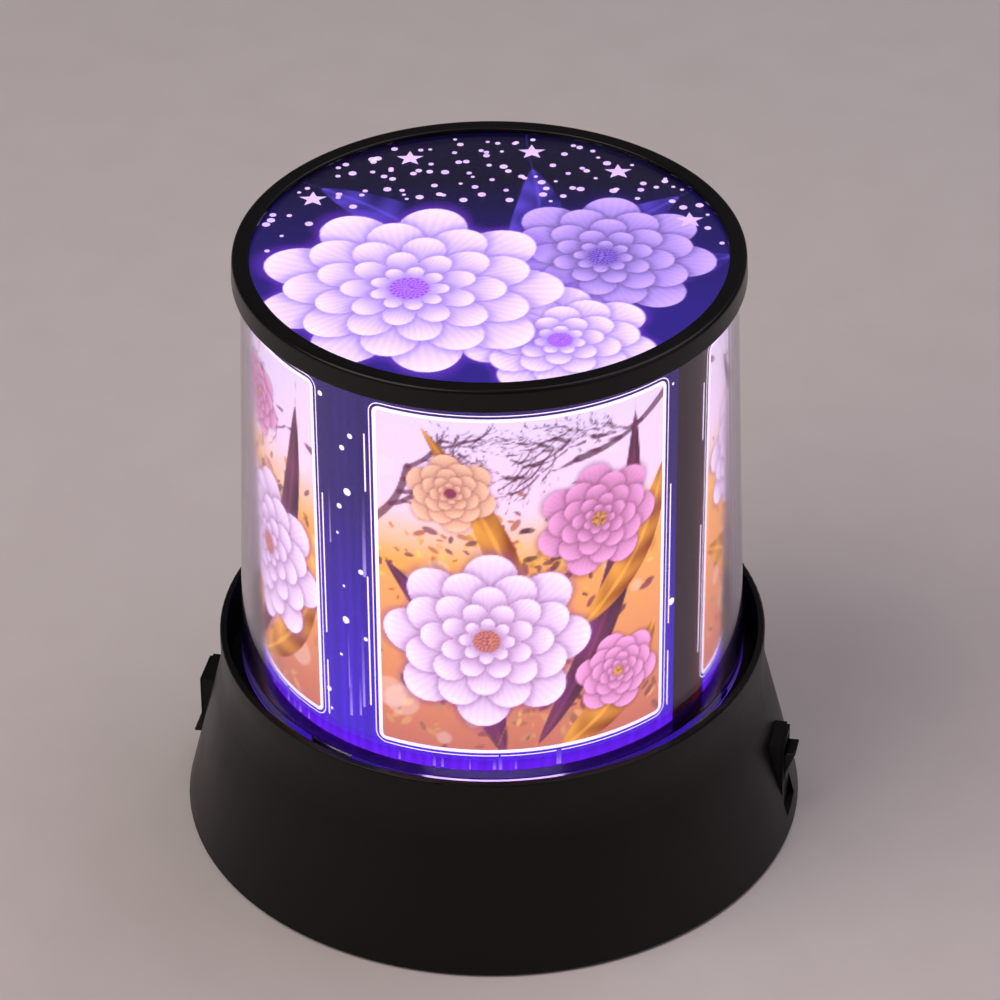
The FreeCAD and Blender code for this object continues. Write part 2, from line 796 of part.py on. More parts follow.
def batteries():
    """Four cells side by side, turned end for end, with a spring and a plate at each end."""
    cells, springs, plates = [], [], []
    for number in range(CELL_COUNT):
        way = 1 if number % 2 else -1
        y = f"bay_end + bay_side_gap / 2 + ({number} + 0.5) * cell_pitch"
        tip_x = f"{way} * (bay_half - contact_wall)"
        tip_low = tip_x if way < 0 else f"{tip_x} - cell_tip"
        body_low = (f"{tip_low} + cell_tip" if way < 0 else f"{tip_low} - cell_length")
        barrel = rod(f"cell_{number}_can", "X", (body_low, y, "cell_height"),
                     "cell_radius", "cell_length")
        tip = rod(f"cell_{number}_tip", "X", (tip_low, y, "cell_height"),
                  "cell_tip_radius", "cell_tip")
        cells.append(fuse(f"cell_{number}", [barrel, tip]))
        spring_length = "2 * (bay_half - contact_wall) - cell_tip - cell_length"
        spring_low = (f"({body_low}) + cell_length" if way < 0
                      else "-(bay_half - contact_wall)")
        radii = ("spring_tip_radius", "spring_radius")
        if way > 0:
            radii = radii[::-1]
        springs.append(cone(f"spring_{number}", "X", (spring_low, y, "cell_height"),
                            *radii, spring_length))
        for side in (1, -1):
            outer = f"{side} * bay_half"
            inner = f"{side} * (bay_half - contact_wall)"
            low, high = (inner, outer) if side > 0 else (outer, inner)
            plates.append(box(f"contact_{number}_{side + 1}", low, high,
                              f"{y} - contact_width / 2", f"{y} + contact_width / 2",
                              "cell_height - contact_width / 2",
                              "cell_height + contact_width / 2"))
    group("battery_cells", cells)
    group("battery_springs", springs)
    group("battery_contacts", plates)


# Rocker switches.

def mirrored(side, low, high):
    """Span from low to high on the +X side, or its mirror image on the -X side."""
    return (low, high) if side > 0 else (f"-({high})", f"-({low})")


def switch_frame(name, side):
    def block(part_name, low, high, half_width, half_height):
        return box(f"{name}_{part_name}", *mirrored(side, low, high),
                   f"-({half_width})", half_width,
                   f"switch_height - ({half_height})", f"switch_height + ({half_height})")
    bezel = block("bezel", "seat_radius", "bezel_front",
                  "frame_half_width + bezel_lap", "frame_half_height + bezel_lap")
    barrel = block("barrel", "frame_back", "bezel_front",
                   "frame_half_width", "frame_half_height")
    opening = block("opening", "frame_back + frame_floor", "bezel_front + bezel_wall",
                    "frame_half_width - frame_wall", "frame_half_height - frame_wall")
    low, _ = mirrored(side, "pivot_reach", "pivot_reach")
    pivot = rod(f"{name}_pivot", "Y", (low, "-frame_half_width", "switch_height"),
                "pivot_pin_radius + pivot_gap", "2 * frame_half_width")
    return cut(name, fuse(f"{name}_blank", [bezel, barrel]), [opening, pivot])


def rocker(name, side):
    """Rocker at rest: its upper end is out on +X and its lower end is out on -X."""
    body = new_body(name)
    sketch = new_sketch(body, "XZ_Plane", "-rocker_width / 2")
    outline = [
        ("-rocker_keel", "-rocker_keel_half"),
        ("rocker_flank", "rocker_draft - rocker_length / 2"),
        ("rocker_end_rise", "-rocker_length / 2"),
        ("rocker_end_rise - rocker_hollow", "-rocker_length / 8"),
        ("rocker_end_rise - rocker_hollow", "rocker_length / 8"),
        ("rocker_end_rise", "rocker_length / 2"),
        ("rocker_flank", "rocker_length / 2 - rocker_draft"),
        ("-rocker_keel", "rocker_keel_half"),
    ]
    if side < 0:
        outline = [(f"-({x})", z) for x, z in outline]
    draw_outline(sketch, outline)
    extrude(body, "Pad", sketch, "rocker_width")
    sketch = new_sketch(body, "XZ_Plane", "-(rocker_width / 2 + pivot_pin_length)")
    draw_circle(sketch, "0", "0", "pivot_pin_radius")
    extrude(body, "Pad", sketch, "rocker_width + 2 * pivot_pin_length")
    body.Placement = FreeCAD.Placement(
        FreeCAD.Vector(), FreeCAD.Rotation(FreeCAD.Vector(0, 1, 0), value("rocker_tilt")))
    bind(body, "Placement.Rotation.Angle", "rocker_tilt")
    place(body, f"{side} * pivot_reach", "0", "switch_height")
    return body


def switch_blades(name, side):
    group(name, [
        box(f"{name}_{index}", *mirrored(side, "frame_back - blade_length", "frame_back"),
            "-blade_width / 2", "blade_width / 2",
            f"switch_height + ({index}) * frame_half_height / 2 - blade_wall / 2",
            f"switch_height + ({index}) * frame_half_height / 2 + blade_wall / 2")
        for index in (-1, 1)])


# Power inlet.

def dc_inlet():
    half = "inlet_width / 2"
    block = box("inlet_block", f"-({half})", half,
                "inlet_block_front - inlet_block_length", "inlet_block_front",
                f"inlet_height - {half}", f"inlet_height + {half}")
    nose = rod("inlet_nose", "Y", ("0", "inlet_front - inlet_bore_depth", "inlet_height"),
               "inlet_nose_radius", "inlet_bore_depth")
    bore = rod("inlet_bore", "Y", ("0", "inlet_front - inlet_bore_depth", "inlet_height"),
               "inlet_bore_radius", "2 * inlet_bore_depth")
    cut("dc_inlet", fuse("inlet_blank", [block, nose]), [bore])
    rod("dc_inlet_pin", "Y", ("0", "inlet_front - inlet_bore_depth", "inlet_height"),
        "inlet_pin_radius", "inlet_pin_length")


# Drive.

def gear_blank(teeth, phase):
    """Outline of a spur gear with a tooth centred on the angle named phase, in degrees."""
    module = value("tooth_module")
    slack = value("backlash")
    pitch = teeth * module / 2
    pressure = math.radians(20)
    base = pitch * math.cos(pressure)
    spread = math.pi / (2 * teeth) - slack / (2 * pitch) + math.tan(pressure) - pressure

    def half_angle(radius):
        lean = math.acos(min(1, base / radius))
        return spread - math.tan(lean) + lean

    root, tip = pitch - 1.25 * module, pitch + 0.85 * module
    radii = [root, max(root, base), pitch, tip]
    flank = [(radius, half_angle(max(radius, base))) for radius in radii]
    if base <= root:
        flank = flank[1:]
    points = []
    for tooth in range(teeth):
        middle = math.radians(phase) + 2 * math.pi * tooth / teeth
        sides = [(r, middle - a) for r, a in flank] + [(r, middle + a) for r, a in flank[::-1]]
        points += [FreeCAD.Vector(r * math.cos(a), r * math.sin(a), 0) for r, a in sides]
    return Part.Face(Part.makePolygon(points + points[:1]))


def gear_solid(teeth, phase, low, high):
    face = gear_blank(int(value(teeth)), phase)
    face.translate(FreeCAD.Vector(0, 0, value(low)))
    return face.extrude(FreeCAD.Vector(0, 0, value(f"({high}) - ({low})")))


def turntable():
    """Disc with its hub, the gear under it and the lugs that turn the drum."""
    body = lathe("turntable_disc", [
        ("bush_radius", "table_hub_under"),
        ("turntable_hub_radius", "table_hub_under"),
        ("turntable_hub_radius", "table_under"),
        ("table_radius", "table_under"),
        ("table_radius", "table_top"),
        ("bush_radius", "table_top"),
    ])
    sketch = new_sketch(body, "XY_Plane", "table_top")
    draw_outline(sketch, rectangle("lug_radius - lug_wall", "lug_radius",
                                   "-lug_width / 2", "lug_width / 2"))
    lug = extrude(body, "Pad", sketch, "ledge_wall - lug_drop")
    polar(body, lug, LUG_COUNT)
    teeth = gear_solid("table_teeth", 90, "table_gear_under", "table_under")
    hole = Part.makeCylinder(value("bush_radius"), value("lamp_height"))
    fuse("turntable", [body, solid("turntable_gear", teeth.cut(hole))])


def idler_gear():
    toward_pinion = -value("pinion_angle")
    small_phase = -90 + 180 / value("idler_small_teeth")
    large = gear_solid("idler_large_teeth", toward_pinion, "large_gear_under", "large_gear_top")
    small = gear_solid("idler_small_teeth", small_phase, "large_gear_top",
                       "table_under - idler_top_gap")
    collar = Part.makeCylinder(value("idler_collar_radius"), value("gear_lift - axial_gap"),
                               FreeCAD.Vector(0, 0, value("deck_top + axial_gap")))
    bore = Part.makeCylinder(value("pin_radius + run_gap"), value("lamp_height"))
    made = solid("idler_gear", large.fuse([small, collar]).cut(bore).removeSplitter())
    place(made, "0", "idler_reach", "0")


def motor():
    spot = ("motor_x", "motor_y")
    rod("motor_can", "Z", (*spot, "deck_under - gearbox_wall - motor_can_wall"),
        "motor_radius", "motor_can_wall")
    case = rod("gearbox_drum", "Z", (*spot, "deck_under - gearbox_wall"),
               "motor_radius", "gearbox_wall")
    lug_low = "deck_under - motor_lug_drop - motor_lug_wall"
    lugs, holes = [], []
    for side in (1, -1):
        y = f"motor_y + ({side} * motor_lug_reach)"
        lugs.append(rod("motor_lug", "Z", ("motor_x", y, lug_low),
                        "motor_lug_radius", "motor_lug_wall"))
        holes.append(rod("motor_lug_hole", "Z", ("motor_x", y, f"{lug_low} - motor_lug_wall"),
                         "motor_screw_radius + hole_gap", "3 * motor_lug_wall"))
    strap = box("motor_strap", "motor_x - motor_lug_radius", "motor_x + motor_lug_radius",
                "motor_y - motor_lug_reach", "motor_y + motor_lug_reach",
                lug_low, f"{lug_low} + motor_lug_wall")
    bearing = rod("gearbox_bearing", "Z", (*spot, "deck_under - gearbox_wall / 2"),
                  "shaft_radius + run_gap", "gearbox_wall")
    cut("gearbox_case", fuse("gearbox_blank", [case, strap] + lugs), holes + [bearing])
    rod("motor_shaft", "Z", (*spot, "deck_under - gearbox_wall / 2 + axial_gap"),
        "shaft_radius", "gearbox_wall / 2 + deck_wall + gear_lift + large_gear_wall")
    gap_phase = 180 - value("pinion_angle") + 180 / value("pinion_teeth")
    teeth = gear_solid("pinion_teeth", gap_phase, "large_gear_under", "large_gear_top")
    bore = Part.makeCylinder(value("shaft_radius"), value("lamp_height"))
    made = solid("motor_pinion", teeth.cut(bore))
    place(made, *spot, "0")


def bearings():
    pin_low = "deck_under - motor_lug_drop + blind_skin"
    rod("idler_pin", "Z", ("0", "idler_reach", pin_low), "pin_radius",
        f"table_under - idler_top_gap / 2 - ({pin_low})")
    lathe("thrust_washer", rectangle("hub_radius + run_gap", "washer_radius",
                                     "deck_top", "washer_top"))
    lathe("bearing_bush", rectangle("hub_radius + run_gap", "bush_radius",
                                    "table_hub_under", "table_top + bush_rise"))


# Lamp inside the drum.

def lamp():
    body = lathe("led_post", [
        ("column_bore_radius", "hub_top"), ("post_flange_radius", "hub_top"),
        ("post_flange_radius", "flange_top"), ("column_radius", "flange_top"),
        ("column_radius", "column_top"), ("column_bore_radius", "column_top")])
    sketch = new_sketch(body, "XY_Plane", "flange_top")
    for side in (1, -1):
        draw_circle(sketch, f"{side} * post_screw_reach", "0",
                    "post_screw_radius + post_hole_gap")
    extrude(body, "Pocket", sketch, "post_flange_wall")
    lathe("led_board", rectangle("led_board_bore", "led_board_radius",
                                 "column_top", "column_top + board_wall"))
    lights = []
    for number, (x, y) in enumerate(corner_places(LED_COUNT, "led_reach", 30)):
        foot = rod(f"led_{number}_foot", "Z", (x, y, "column_top + board_wall"),
                   "led_radius", "led_rise")
        lens = doc.addObject("Part::Sphere", f"led_{number}_lens")
        bind(lens, "Radius", "led_radius")
        lens.Angle1 = 0
        place(lens, x, y, "column_top + board_wall + led_rise")
        lights.append(fuse(f"led_{number}", [foot, lens]))
    group("leds", lights)
    top = "flange_top + dome_height"
    body = lathe("diffuser_dome", [
        ("dome_radius", "flange_top"), ("dome_radius", top), ("0", top),
        ("0", f"{top} - dome_wall"), ("dome_radius - dome_wall", f"{top} - dome_wall"),
        ("dome_radius - dome_wall", "flange_top")])
    round_edges(body, "dome_round", [("dome_radius", top)])
    round_edges(body, "dome_round - dome_wall",
                [("dome_radius - dome_wall", f"{top} - dome_wall")])


# Drum: clear sleeve, prints and the ring that holds the window.

def drum():
    body = lathe("clear_sleeve", [
        ("sleeve_foot_radius", "drum_floor"), ("sleeve_top_radius", "sleeve_top"),
        ("sleeve_top_radius - sleeve_wall", "sleeve_top"), ("ledge_bore", "ledge_top"),
        ("ledge_radius", "ledge_top"), ("ledge_radius", "drum_floor")])
    sketch = new_sketch(body, "XY_Plane", "ledge_top")
    draw_outline(sketch, rectangle("ledge_radius - lug_wall", "lug_radius + lug_gap",
                                   "-(lug_width / 2 + lug_gap)", "lug_width / 2 + lug_gap"))
    slot = extrude(body, "Pocket", sketch, "ledge_wall")
    polar(body, slot, LUG_COUNT)

    body = lathe("top_ring", [
        ("ring_foot_radius", "ring_under"), ("ring_top_radius", "lamp_height"),
        ("ring_bore_radius", "lamp_height"), ("ring_bore_radius", "flange_under"),
        ("skirt_radius", "flange_under"), ("skirt_radius", "ring_under")])
    round_edges(body, "ring_round", [("ring_top_radius", "lamp_height"),
                                     ("ring_bore_radius", "lamp_height")])
    lathe("top_window", rectangle("0", "skirt_radius - window_gap",
                                  "window_under", "flange_under"))
    lathe("top_print", rectangle("0", "skirt_radius - print_gap",
                                 "sleeve_top", "window_under"))

    body = lathe("side_print", rectangle("film_radius - film_wall", "film_radius",
                                         "ledge_top", "sleeve_top - film_top_gap"))
    revolve(body, rectangle("film_radius - 2 * film_wall", "film_radius - film_wall",
                            "ledge_top", "sleeve_top - film_top_gap"), "overlap_span")
    body.Placement = FreeCAD.Placement(
        FreeCAD.Vector(), FreeCAD.Rotation(FreeCAD.Vector(0, 0, 1), value("overlap_start")))
    bind(body, "Placement.Rotation.Angle", "overlap_start - 90")


# Control board and the wires between the pieces.

def electronics():
    half = "control_length / 2"
    board = box("control_blank", f"-({half})", half, "control_y - control_width / 2",
                "control_y + control_width / 2", "control_under", "control_top")
    holes = [rod(f"board_hole_{number}", "Z", (x, y, "control_under - board_wall"),
                 "post_screw_radius", "3 * board_wall")
             for number, (x, y) in enumerate(board_screw_places())]
    cut("control_board", board, holes)
    box("control_chip", "-chip_length / 2", "chip_length / 2", "control_y - chip_width / 2",
        "control_y + chip_width / 2", "control_top", "control_top + chip_wall")
    rod("capacitor", "Z", ("-capacitor_x", "control_y + capacitor_y", "control_top"),
        "capacitor_radius", "capacitor_height")


def lead(name, points):
    """A wire along straight runs joined by arcs."""
    places = [vector(*point) for point in points]
    bend = value("wire_bend")
    edges, start = [], places[0]
    for before, corner, after in zip(places, places[1:], places[2:]):
        incoming = (corner - before).normalize()
        outgoing = (after - corner).normalize()
        turn = incoming.getAngle(outgoing)
        trim = bend * math.tan(turn / 2)
        first, last = corner - incoming * trim, corner + outgoing * trim
        inward = (outgoing - incoming).normalize()
        reach = bend / math.cos(turn / 2) - bend
        edges.append(Part.LineSegment(start, first).toShape())
        edges.append(Part.Arc(first, corner + inward * reach, last).toShape())
        start = last
    edges.append(Part.LineSegment(start, places[-1]).toShape())
    ring = Part.Wire(Part.makeCircle(value("wire_radius"), places[0], places[1] - places[0]))
    solid(name, Part.Wire(edges).makePipeShell([ring], True, False))


def wiring():
    over = "control_top + wire_rise"
    lead("led_leads", [
        ("0", "control_y + led_tap_y", "control_top"), ("0", "control_y + led_tap_y", over),
        ("0", "0", over), ("0", "0", "column_top")])
    lead("motor_leads", [
        ("motor_x", "motor_y - motor_radius", "deck_under - motor_tap_drop"),
        ("motor_x", "motor_y - motor_radius - motor_tap_run", "deck_under - motor_tap_drop"),
        ("motor_x - motor_turn_x", "bay_start + motor_turn_y", over),
        ("motor_tap_x", "control_y + motor_tap_y", over),
        ("motor_tap_x", "control_y + motor_tap_y", "control_top")])
    inlet_back = "inlet_block_front - inlet_block_length"
    lead("inlet_leads", [
        ("0", inlet_back, "inlet_height"), ("0", f"{inlet_back} - wire_run", "inlet_height"),
        ("-inlet_turn_x", "idler_reach - inlet_turn_y", over),
        ("-inlet_tap_x", "control_y + inlet_tap_y", over),
        ("-inlet_tap_x", "control_y + inlet_tap_y", "control_top")])
    for name, side in (("light_switch_leads", 1), ("motor_switch_leads", -1)):
        blade = "switch_height + frame_half_height / 2"
        blade_end = "frame_back - blade_length"
        tap = (f"{side} * (control_length / 2 - switch_tap_inset)", "control_y - switch_tap_y")
        lead(name, [
            (f"{side} * ({blade_end})", "0", blade),
            (f"{side} * ({blade_end} - wire_run)", "0", blade),
            (f"{side} * (bay_half - switch_turn_inset)", "control_y + switch_turn_y", over),
            (*tap, over), (*tap, "control_top")])
    edge = "control_y - control_width / 2 - battery_tap_y"
    lead("battery_leads", [
        ("battery_tap_x", edge, "bay_roof + bay_wall"), ("battery_tap_x", edge, over),
        ("battery_tap_x", "control_y - battery_tap_inset", over),
        ("battery_tap_x", "control_y - battery_tap_inset", "control_top")])


NODES = [
    "base_housing", "base_plate", "battery_door", "battery_door_screw", "base_screws",
    "rubber_feet", "battery_cells", "battery_springs", "battery_contacts",
    "light_switch_frame", "light_switch_blades", "light_rocker",
    "motor_switch_frame", "motor_switch_blades", "motor_rocker",
    "dc_inlet", "dc_inlet_pin", "control_board", "control_chip", "capacitor", "board_screws",
    "motor_can", "gearbox_case", "motor_screws", "motor_shaft", "motor_pinion",
    "idler_gear", "idler_pin", "thrust_washer", "bearing_bush", "turntable",
    "led_post", "post_screws", "led_board", "leds", "diffuser_dome",
    "clear_sleeve", "top_ring", "top_window", "top_print", "side_print",
    "led_leads", "motor_leads", "inlet_leads", "light_switch_leads", "motor_switch_leads",
    "battery_leads",
]


def build():
    base_housing()
    base_plate()
    battery_door()
    fasteners()
    rubber_feet()
    batteries()
    for use, side in (("light", 1), ("motor", -1)):
        switch_frame(f"{use}_switch_frame", side)
        switch_blades(f"{use}_switch_blades", side)
        rocker(f"{use}_rocker", side)
    dc_inlet()
    turntable()
    idler_gear()
    motor()
    bearings()
    lamp()
    drum()
    electronics()
    wiring()
    doc.recompute()


def export():
    faults = [item.Label for item in doc.Objects
              if {"Invalid", "Error"} & set(item.State)]
    if faults:
        raise ValueError("failed objects: " + ", ".join(faults))
    os.makedirs("parts", exist_ok=True)
    for node in NODES:
        shape = doc.getObjectsByLabel(node)[0].Shape
        if shape.isNull() or not shape.isValid() or not shape.Solids:
            raise ValueError("bad shape: " + node)
        shape.exportStep(f"parts/{node}.step")
        print(node, len(shape.Solids), "solids", round(shape.Volume, 1), "mm3")


build()
export()
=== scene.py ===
import math

import bpy
import numpy as np
from mathutils import Matrix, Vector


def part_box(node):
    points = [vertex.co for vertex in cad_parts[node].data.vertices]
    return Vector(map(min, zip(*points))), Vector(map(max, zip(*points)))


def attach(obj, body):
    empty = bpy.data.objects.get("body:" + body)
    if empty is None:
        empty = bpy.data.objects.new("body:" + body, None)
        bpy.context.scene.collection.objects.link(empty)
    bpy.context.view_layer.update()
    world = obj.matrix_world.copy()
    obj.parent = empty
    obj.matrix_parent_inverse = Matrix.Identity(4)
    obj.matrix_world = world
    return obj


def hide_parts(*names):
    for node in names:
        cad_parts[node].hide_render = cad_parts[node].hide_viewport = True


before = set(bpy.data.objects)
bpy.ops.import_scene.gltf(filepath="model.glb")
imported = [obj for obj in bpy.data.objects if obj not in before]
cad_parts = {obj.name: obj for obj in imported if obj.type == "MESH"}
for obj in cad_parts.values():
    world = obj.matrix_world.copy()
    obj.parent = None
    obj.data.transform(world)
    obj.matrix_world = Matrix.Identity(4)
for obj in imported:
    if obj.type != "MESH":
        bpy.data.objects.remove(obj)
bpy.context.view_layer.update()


# Base housing: one flared shell with the deck, the hub and the screw posts moulded in.
# It is black ABS from a finely etched mould, so it is satin, with a faint even grain and a
# gloss that drifts a little over each wall. Everything else is screwed or clipped to it.

MM = 0.001


def linear(shade):
    """Linear colour of an sRGB hex value: c / 12.92 up to 0.04045, then ((c + 0.055) / 1.055) ^ 2.4."""
    parts = np.array([int(shade[start:start + 2], 16) for start in (1, 3, 5)]) / 255
    parts = np.where(parts <= 0.04045, parts / 12.92, ((parts + 0.055) / 1.055) ** 2.4)
    return (*parts.tolist(), 1.0)


def add_node(tree, kind, inputs=None, **settings):
    """A shader node with its settings; an input is a number, a colour or the socket that feeds it."""
    made = tree.nodes.new("ShaderNode" + kind)
    for name, setting in settings.items():
        setattr(made, name, setting)
    for name, source in (inputs or {}).items():
        if isinstance(source, bpy.types.NodeSocket):
            tree.links.new(source, made.inputs[name])
        else:
            made.inputs[name].default_value = source
    return made


def start_material(name, shade, roughness, **sockets):
    """A new material with the constants of its shader set; gives its tree, shader and coordinates."""
    material = bpy.data.materials.new(name)
    material.use_nodes = True
    tree = material.node_tree
    shader = tree.nodes["Principled BSDF"]
    shader.inputs["Base Color"].default_value = linear(shade)
    shader.inputs["Roughness"].default_value = roughness
    for socket, number in sockets.items():
        shader.inputs[socket.replace("_", " ")].default_value = number
    return material, tree, shader, add_node(tree, "TexCoord").outputs["Object"]


def moulded(name, shade, second_shade, roughness, grain, depth, **sockets):
    """Moulded plastic: noise of the grain's size as bump, slow noise in the gloss and the colour."""
    material, tree, shader, place = start_material(name, shade, roughness, **sockets)
    etch = add_node(tree, "TexNoise", {"Vector": place, "Scale": 1 / (grain * MM), "Detail": 3.0})
    bump = add_node(tree, "Bump", {"Height": etch.outputs["Fac"], "Distance": depth * MM})
    drift = add_node(tree, "TexNoise", {"Vector": place, "Scale": 1 / (14 * MM), "Detail": 4.0})
    gloss = add_node(tree, "MapRange", {
        "Value": drift.outputs["Fac"], "From Min": 0.3, "From Max": 0.7,
        "To Min": roughness - 0.04, "To Max": roughness + 0.05})
    colour = add_node(tree, "Mix", {
        0: drift.outputs["Fac"], 6: linear(shade), 7: linear(second_shade)}, data_type="RGBA")
    tree.links.new(colour.outputs[2], shader.inputs["Base Color"])
    tree.links.new(gloss.outputs["Result"], shader.inputs["Roughness"])
    tree.links.new(bump.outputs["Normal"], shader.inputs["Normal"])
    return material


def dress(material, *names):
    """Give CAD nodes their finish through their own material slots."""
    for name in names:
        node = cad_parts[name]
        if not node.material_slots:
            node.data.materials.append(material)
        for held in node.material_slots:
            held.material = material


# The etched skin breaks the light into a broad, soft highlight on the waist and the rim.
black_abs = moulded("black_abs_etched", "#050304", "#090607", 0.36, grain=0.28, depth=0.012,
                    Specular_IOR_Level=0.26)
dress(black_abs, "base_housing")


# Bottom plate, battery door and feet: the plate closes the housing and holds the battery bay,
# and the door clips into it with a tab and one screw. Both are the housing's ABS from a coarser
# mould. The feet are pads of nitrile rubber glued in, and the screws are plated steel.

# A coarser etch than the housing's, because nobody looks at the underside.
black_abs_coarse = moulded("black_abs_coarse", "#100f10", "#161415", 0.5, grain=0.5, depth=0.03)
dress(black_abs_coarse, "base_plate", "battery_door")

# Dull and slightly dusty, with no clear highlight.
foot_rubber = moulded("nitrile_rubber", "#1a1918", "#232120", 0.78, grain=0.4, depth=0.04)
dress(foot_rubber, "rubber_feet")


def metal(name, shade, roughness, scratch):
    """Metal with fine wear: noise stretched in height feeds a shallow bump and the roughness."""
    material, tree, shader, place = start_material(name, shade, roughness, Metallic=1.0)
    stretch = add_node(tree, "Mapping", {"Vector": place, "Scale": (1.0, 1.0, 0.15)})
    wear = add_node(tree, "TexNoise", {
        "Vector": stretch.outputs["Vector"], "Scale": 1 / (scratch * MM), "Detail": 4.0})
    gloss = add_node(tree, "MapRange", {
        "Value": wear.outputs["Fac"], "To Min": roughness - 0.08, "To Max": roughness + 0.12})
    bump = add_node(tree, "Bump", {"Height": wear.outputs["Fac"], "Distance": 0.004 * MM})
    tree.links.new(gloss.outputs["Result"], shader.inputs["Roughness"])
    tree.links.new(bump.outputs["Normal"], shader.inputs["Normal"])
    return material


# Zinc gives the screws a grey, slightly milky shine.
zinc_steel = metal("zinc_plated_steel", "#b9bcc0", 0.32, scratch=0.5)
dress(zinc_steel, "base_screws", "battery_door_screw", "motor_screws", "post_screws", "board_screws")


# Batteries: four AAA cells lie side by side in the bay, turned end for end, between nickel
# plates and steel coil springs. The cells have a plain shrunk PVC sleeve over a steel can.

CELL_COUNT = 4
CELL_WIDTH = 10.5
SPRING_WIRE = 0.32
SPRING_LENGTH = 5.1
SPRING_FOOT_RADIUS = 3.3
SPRING_TIP_RADIUS = 2.0
SPRING_TURNS = 5
SPRING_STEPS = 24


def grid_faces(rows, columns, closed_rows=False, closed_columns=False):
    """Quads of a grid numbered row by row; a closed direction joins its last line to its first."""
    number = np.arange(rows * columns).reshape(rows, columns)
    if closed_rows:
        number = np.vstack([number, number[:1]])
    if closed_columns:
        number = np.hstack([number, number[:, :1]])
    corners = (number[:-1, :-1], number[:-1, 1:], number[1:, 1:], number[1:, :-1])
    return np.stack(corners, axis=-1).reshape(-1, 4)


def add_piece(name, points, faces, material, body, slot):
    """A smooth mesh at the origin, from points in millimetres; edges over 35 degrees stay sharp."""
    mesh = bpy.data.meshes.new(name)
    mesh.from_pydata((points.reshape(-1, 3) * MM).tolist(), [], [list(face) for face in faces])
    mesh.polygons.foreach_set("use_smooth", np.full(len(mesh.polygons), True))
    mesh.set_sharp_from_angle(angle=math.radians(35))
    mesh.materials.append(material)
    piece = bpy.data.objects.new(name, mesh)
    bpy.context.scene.collection.objects.link(piece)
    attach(piece, body)
    return piece


def tube(path, radius, sides=8):
    """Wire along a path: at each point a circle of the radius, square to the path's direction."""
    ahead = np.gradient(path, axis=0)
    ahead /= np.linalg.norm(ahead, axis=1, keepdims=True)
    across = np.cross(ahead, (0.0, 0.13, 0.99))
    across /= np.linalg.norm(across, axis=1, keepdims=True)
    up = np.cross(across, ahead)
    angle = np.linspace(0, 2 * math.pi, sides, endpoint=False)[None, :, None]
    points = path[:, None] + radius * (np.cos(angle) * up[:, None] + np.sin(angle) * across[:, None])
    rows = len(path)
    caps = [list(range(sides))[::-1], list(range((rows - 1) * sides, rows * sides))]
    return points, [list(face) for face in grid_faces(rows, sides, closed_columns=True)] + caps


def millimetres(node):
    """Lowest and highest corner of a CAD node, in millimetres."""
    return [np.array(corner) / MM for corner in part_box(node)]


def coil_springs():
    """Conical springs: radius and place run evenly along X while the wire turns round the cell's axis."""
    low, high = millimetres("battery_springs")
    cells_low, cells_high = millimetres("battery_cells")
    pitch = (cells_high[1] - cells_low[1] - CELL_WIDTH) / (CELL_COUNT - 1)
    middle_z = (cells_low[2] + cells_high[2]) / 2
    share = np.linspace(0, 1, SPRING_TURNS * SPRING_STEPS)
    turn = 2 * math.pi * SPRING_TURNS * share
    radius = SPRING_FOOT_RADIUS - (SPRING_FOOT_RADIUS - SPRING_TIP_RADIUS) * share - SPRING_WIRE
    reach = SPRING_WIRE + share * (SPRING_LENGTH - 2 * SPRING_WIRE)
    points, faces, count = [], [], 0
    for number in range(CELL_COUNT):
        middle_y = cells_low[1] + CELL_WIDTH / 2 + number * pitch
        outward = -1 if number % 2 else 1
        wall = low[0] if outward < 0 else high[0]
        path = np.stack([wall - outward * reach, middle_y + radius * np.cos(turn),
                         middle_z + radius * np.sin(turn)], axis=-1)
        ring, sides = tube(path, SPRING_WIRE)
        points.append(ring.reshape(-1, 3))
        faces += [[corner + count for corner in face] for face in sides]
        count += len(points[-1])
    return np.concatenate(points), faces


# Bright drawn wire.
spring_steel = metal("spring_steel", "#c6c7ca", 0.22, scratch=0.3)
springs = add_piece("battery_spring_coils", *coil_springs(), spring_steel, "base", "steel")
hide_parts("battery_springs")

# Nickel is warmer than zinc and takes fingerprints.
nickel = metal("nickel_plate", "#c9c2b4", 0.26, scratch=0.8)
dress(nickel, "battery_contacts")

# A glossy shrunk sleeve, dark green, with no print on it.
cell_sleeve = moulded("pvc_shrink_sleeve", "#23463a", "#2a5245", 0.24, grain=1.5, depth=0.01)
dress(cell_sleeve, "battery_cells")


# Rocker switches: one on each side, a glossy black rocker in a satin bezel that is pressed into
# its seat. The rocker is moulded ABS with softened edges, and rolls on two stub pins.

ROCKER_LENGTH = 12.4
ROCKER_HALF_WIDTH = 2.5
ROCKER_RISE = 2.7
ROCKER_HOLLOW = 0.9
ROCKER_FLANK = 0.4
ROCKER_DRAFT = 0.5
ROCKER_KEEL = (1.2, 1.9)
ROCKER_TILT = 9
ROCKER_SOFTNESS = 0.3


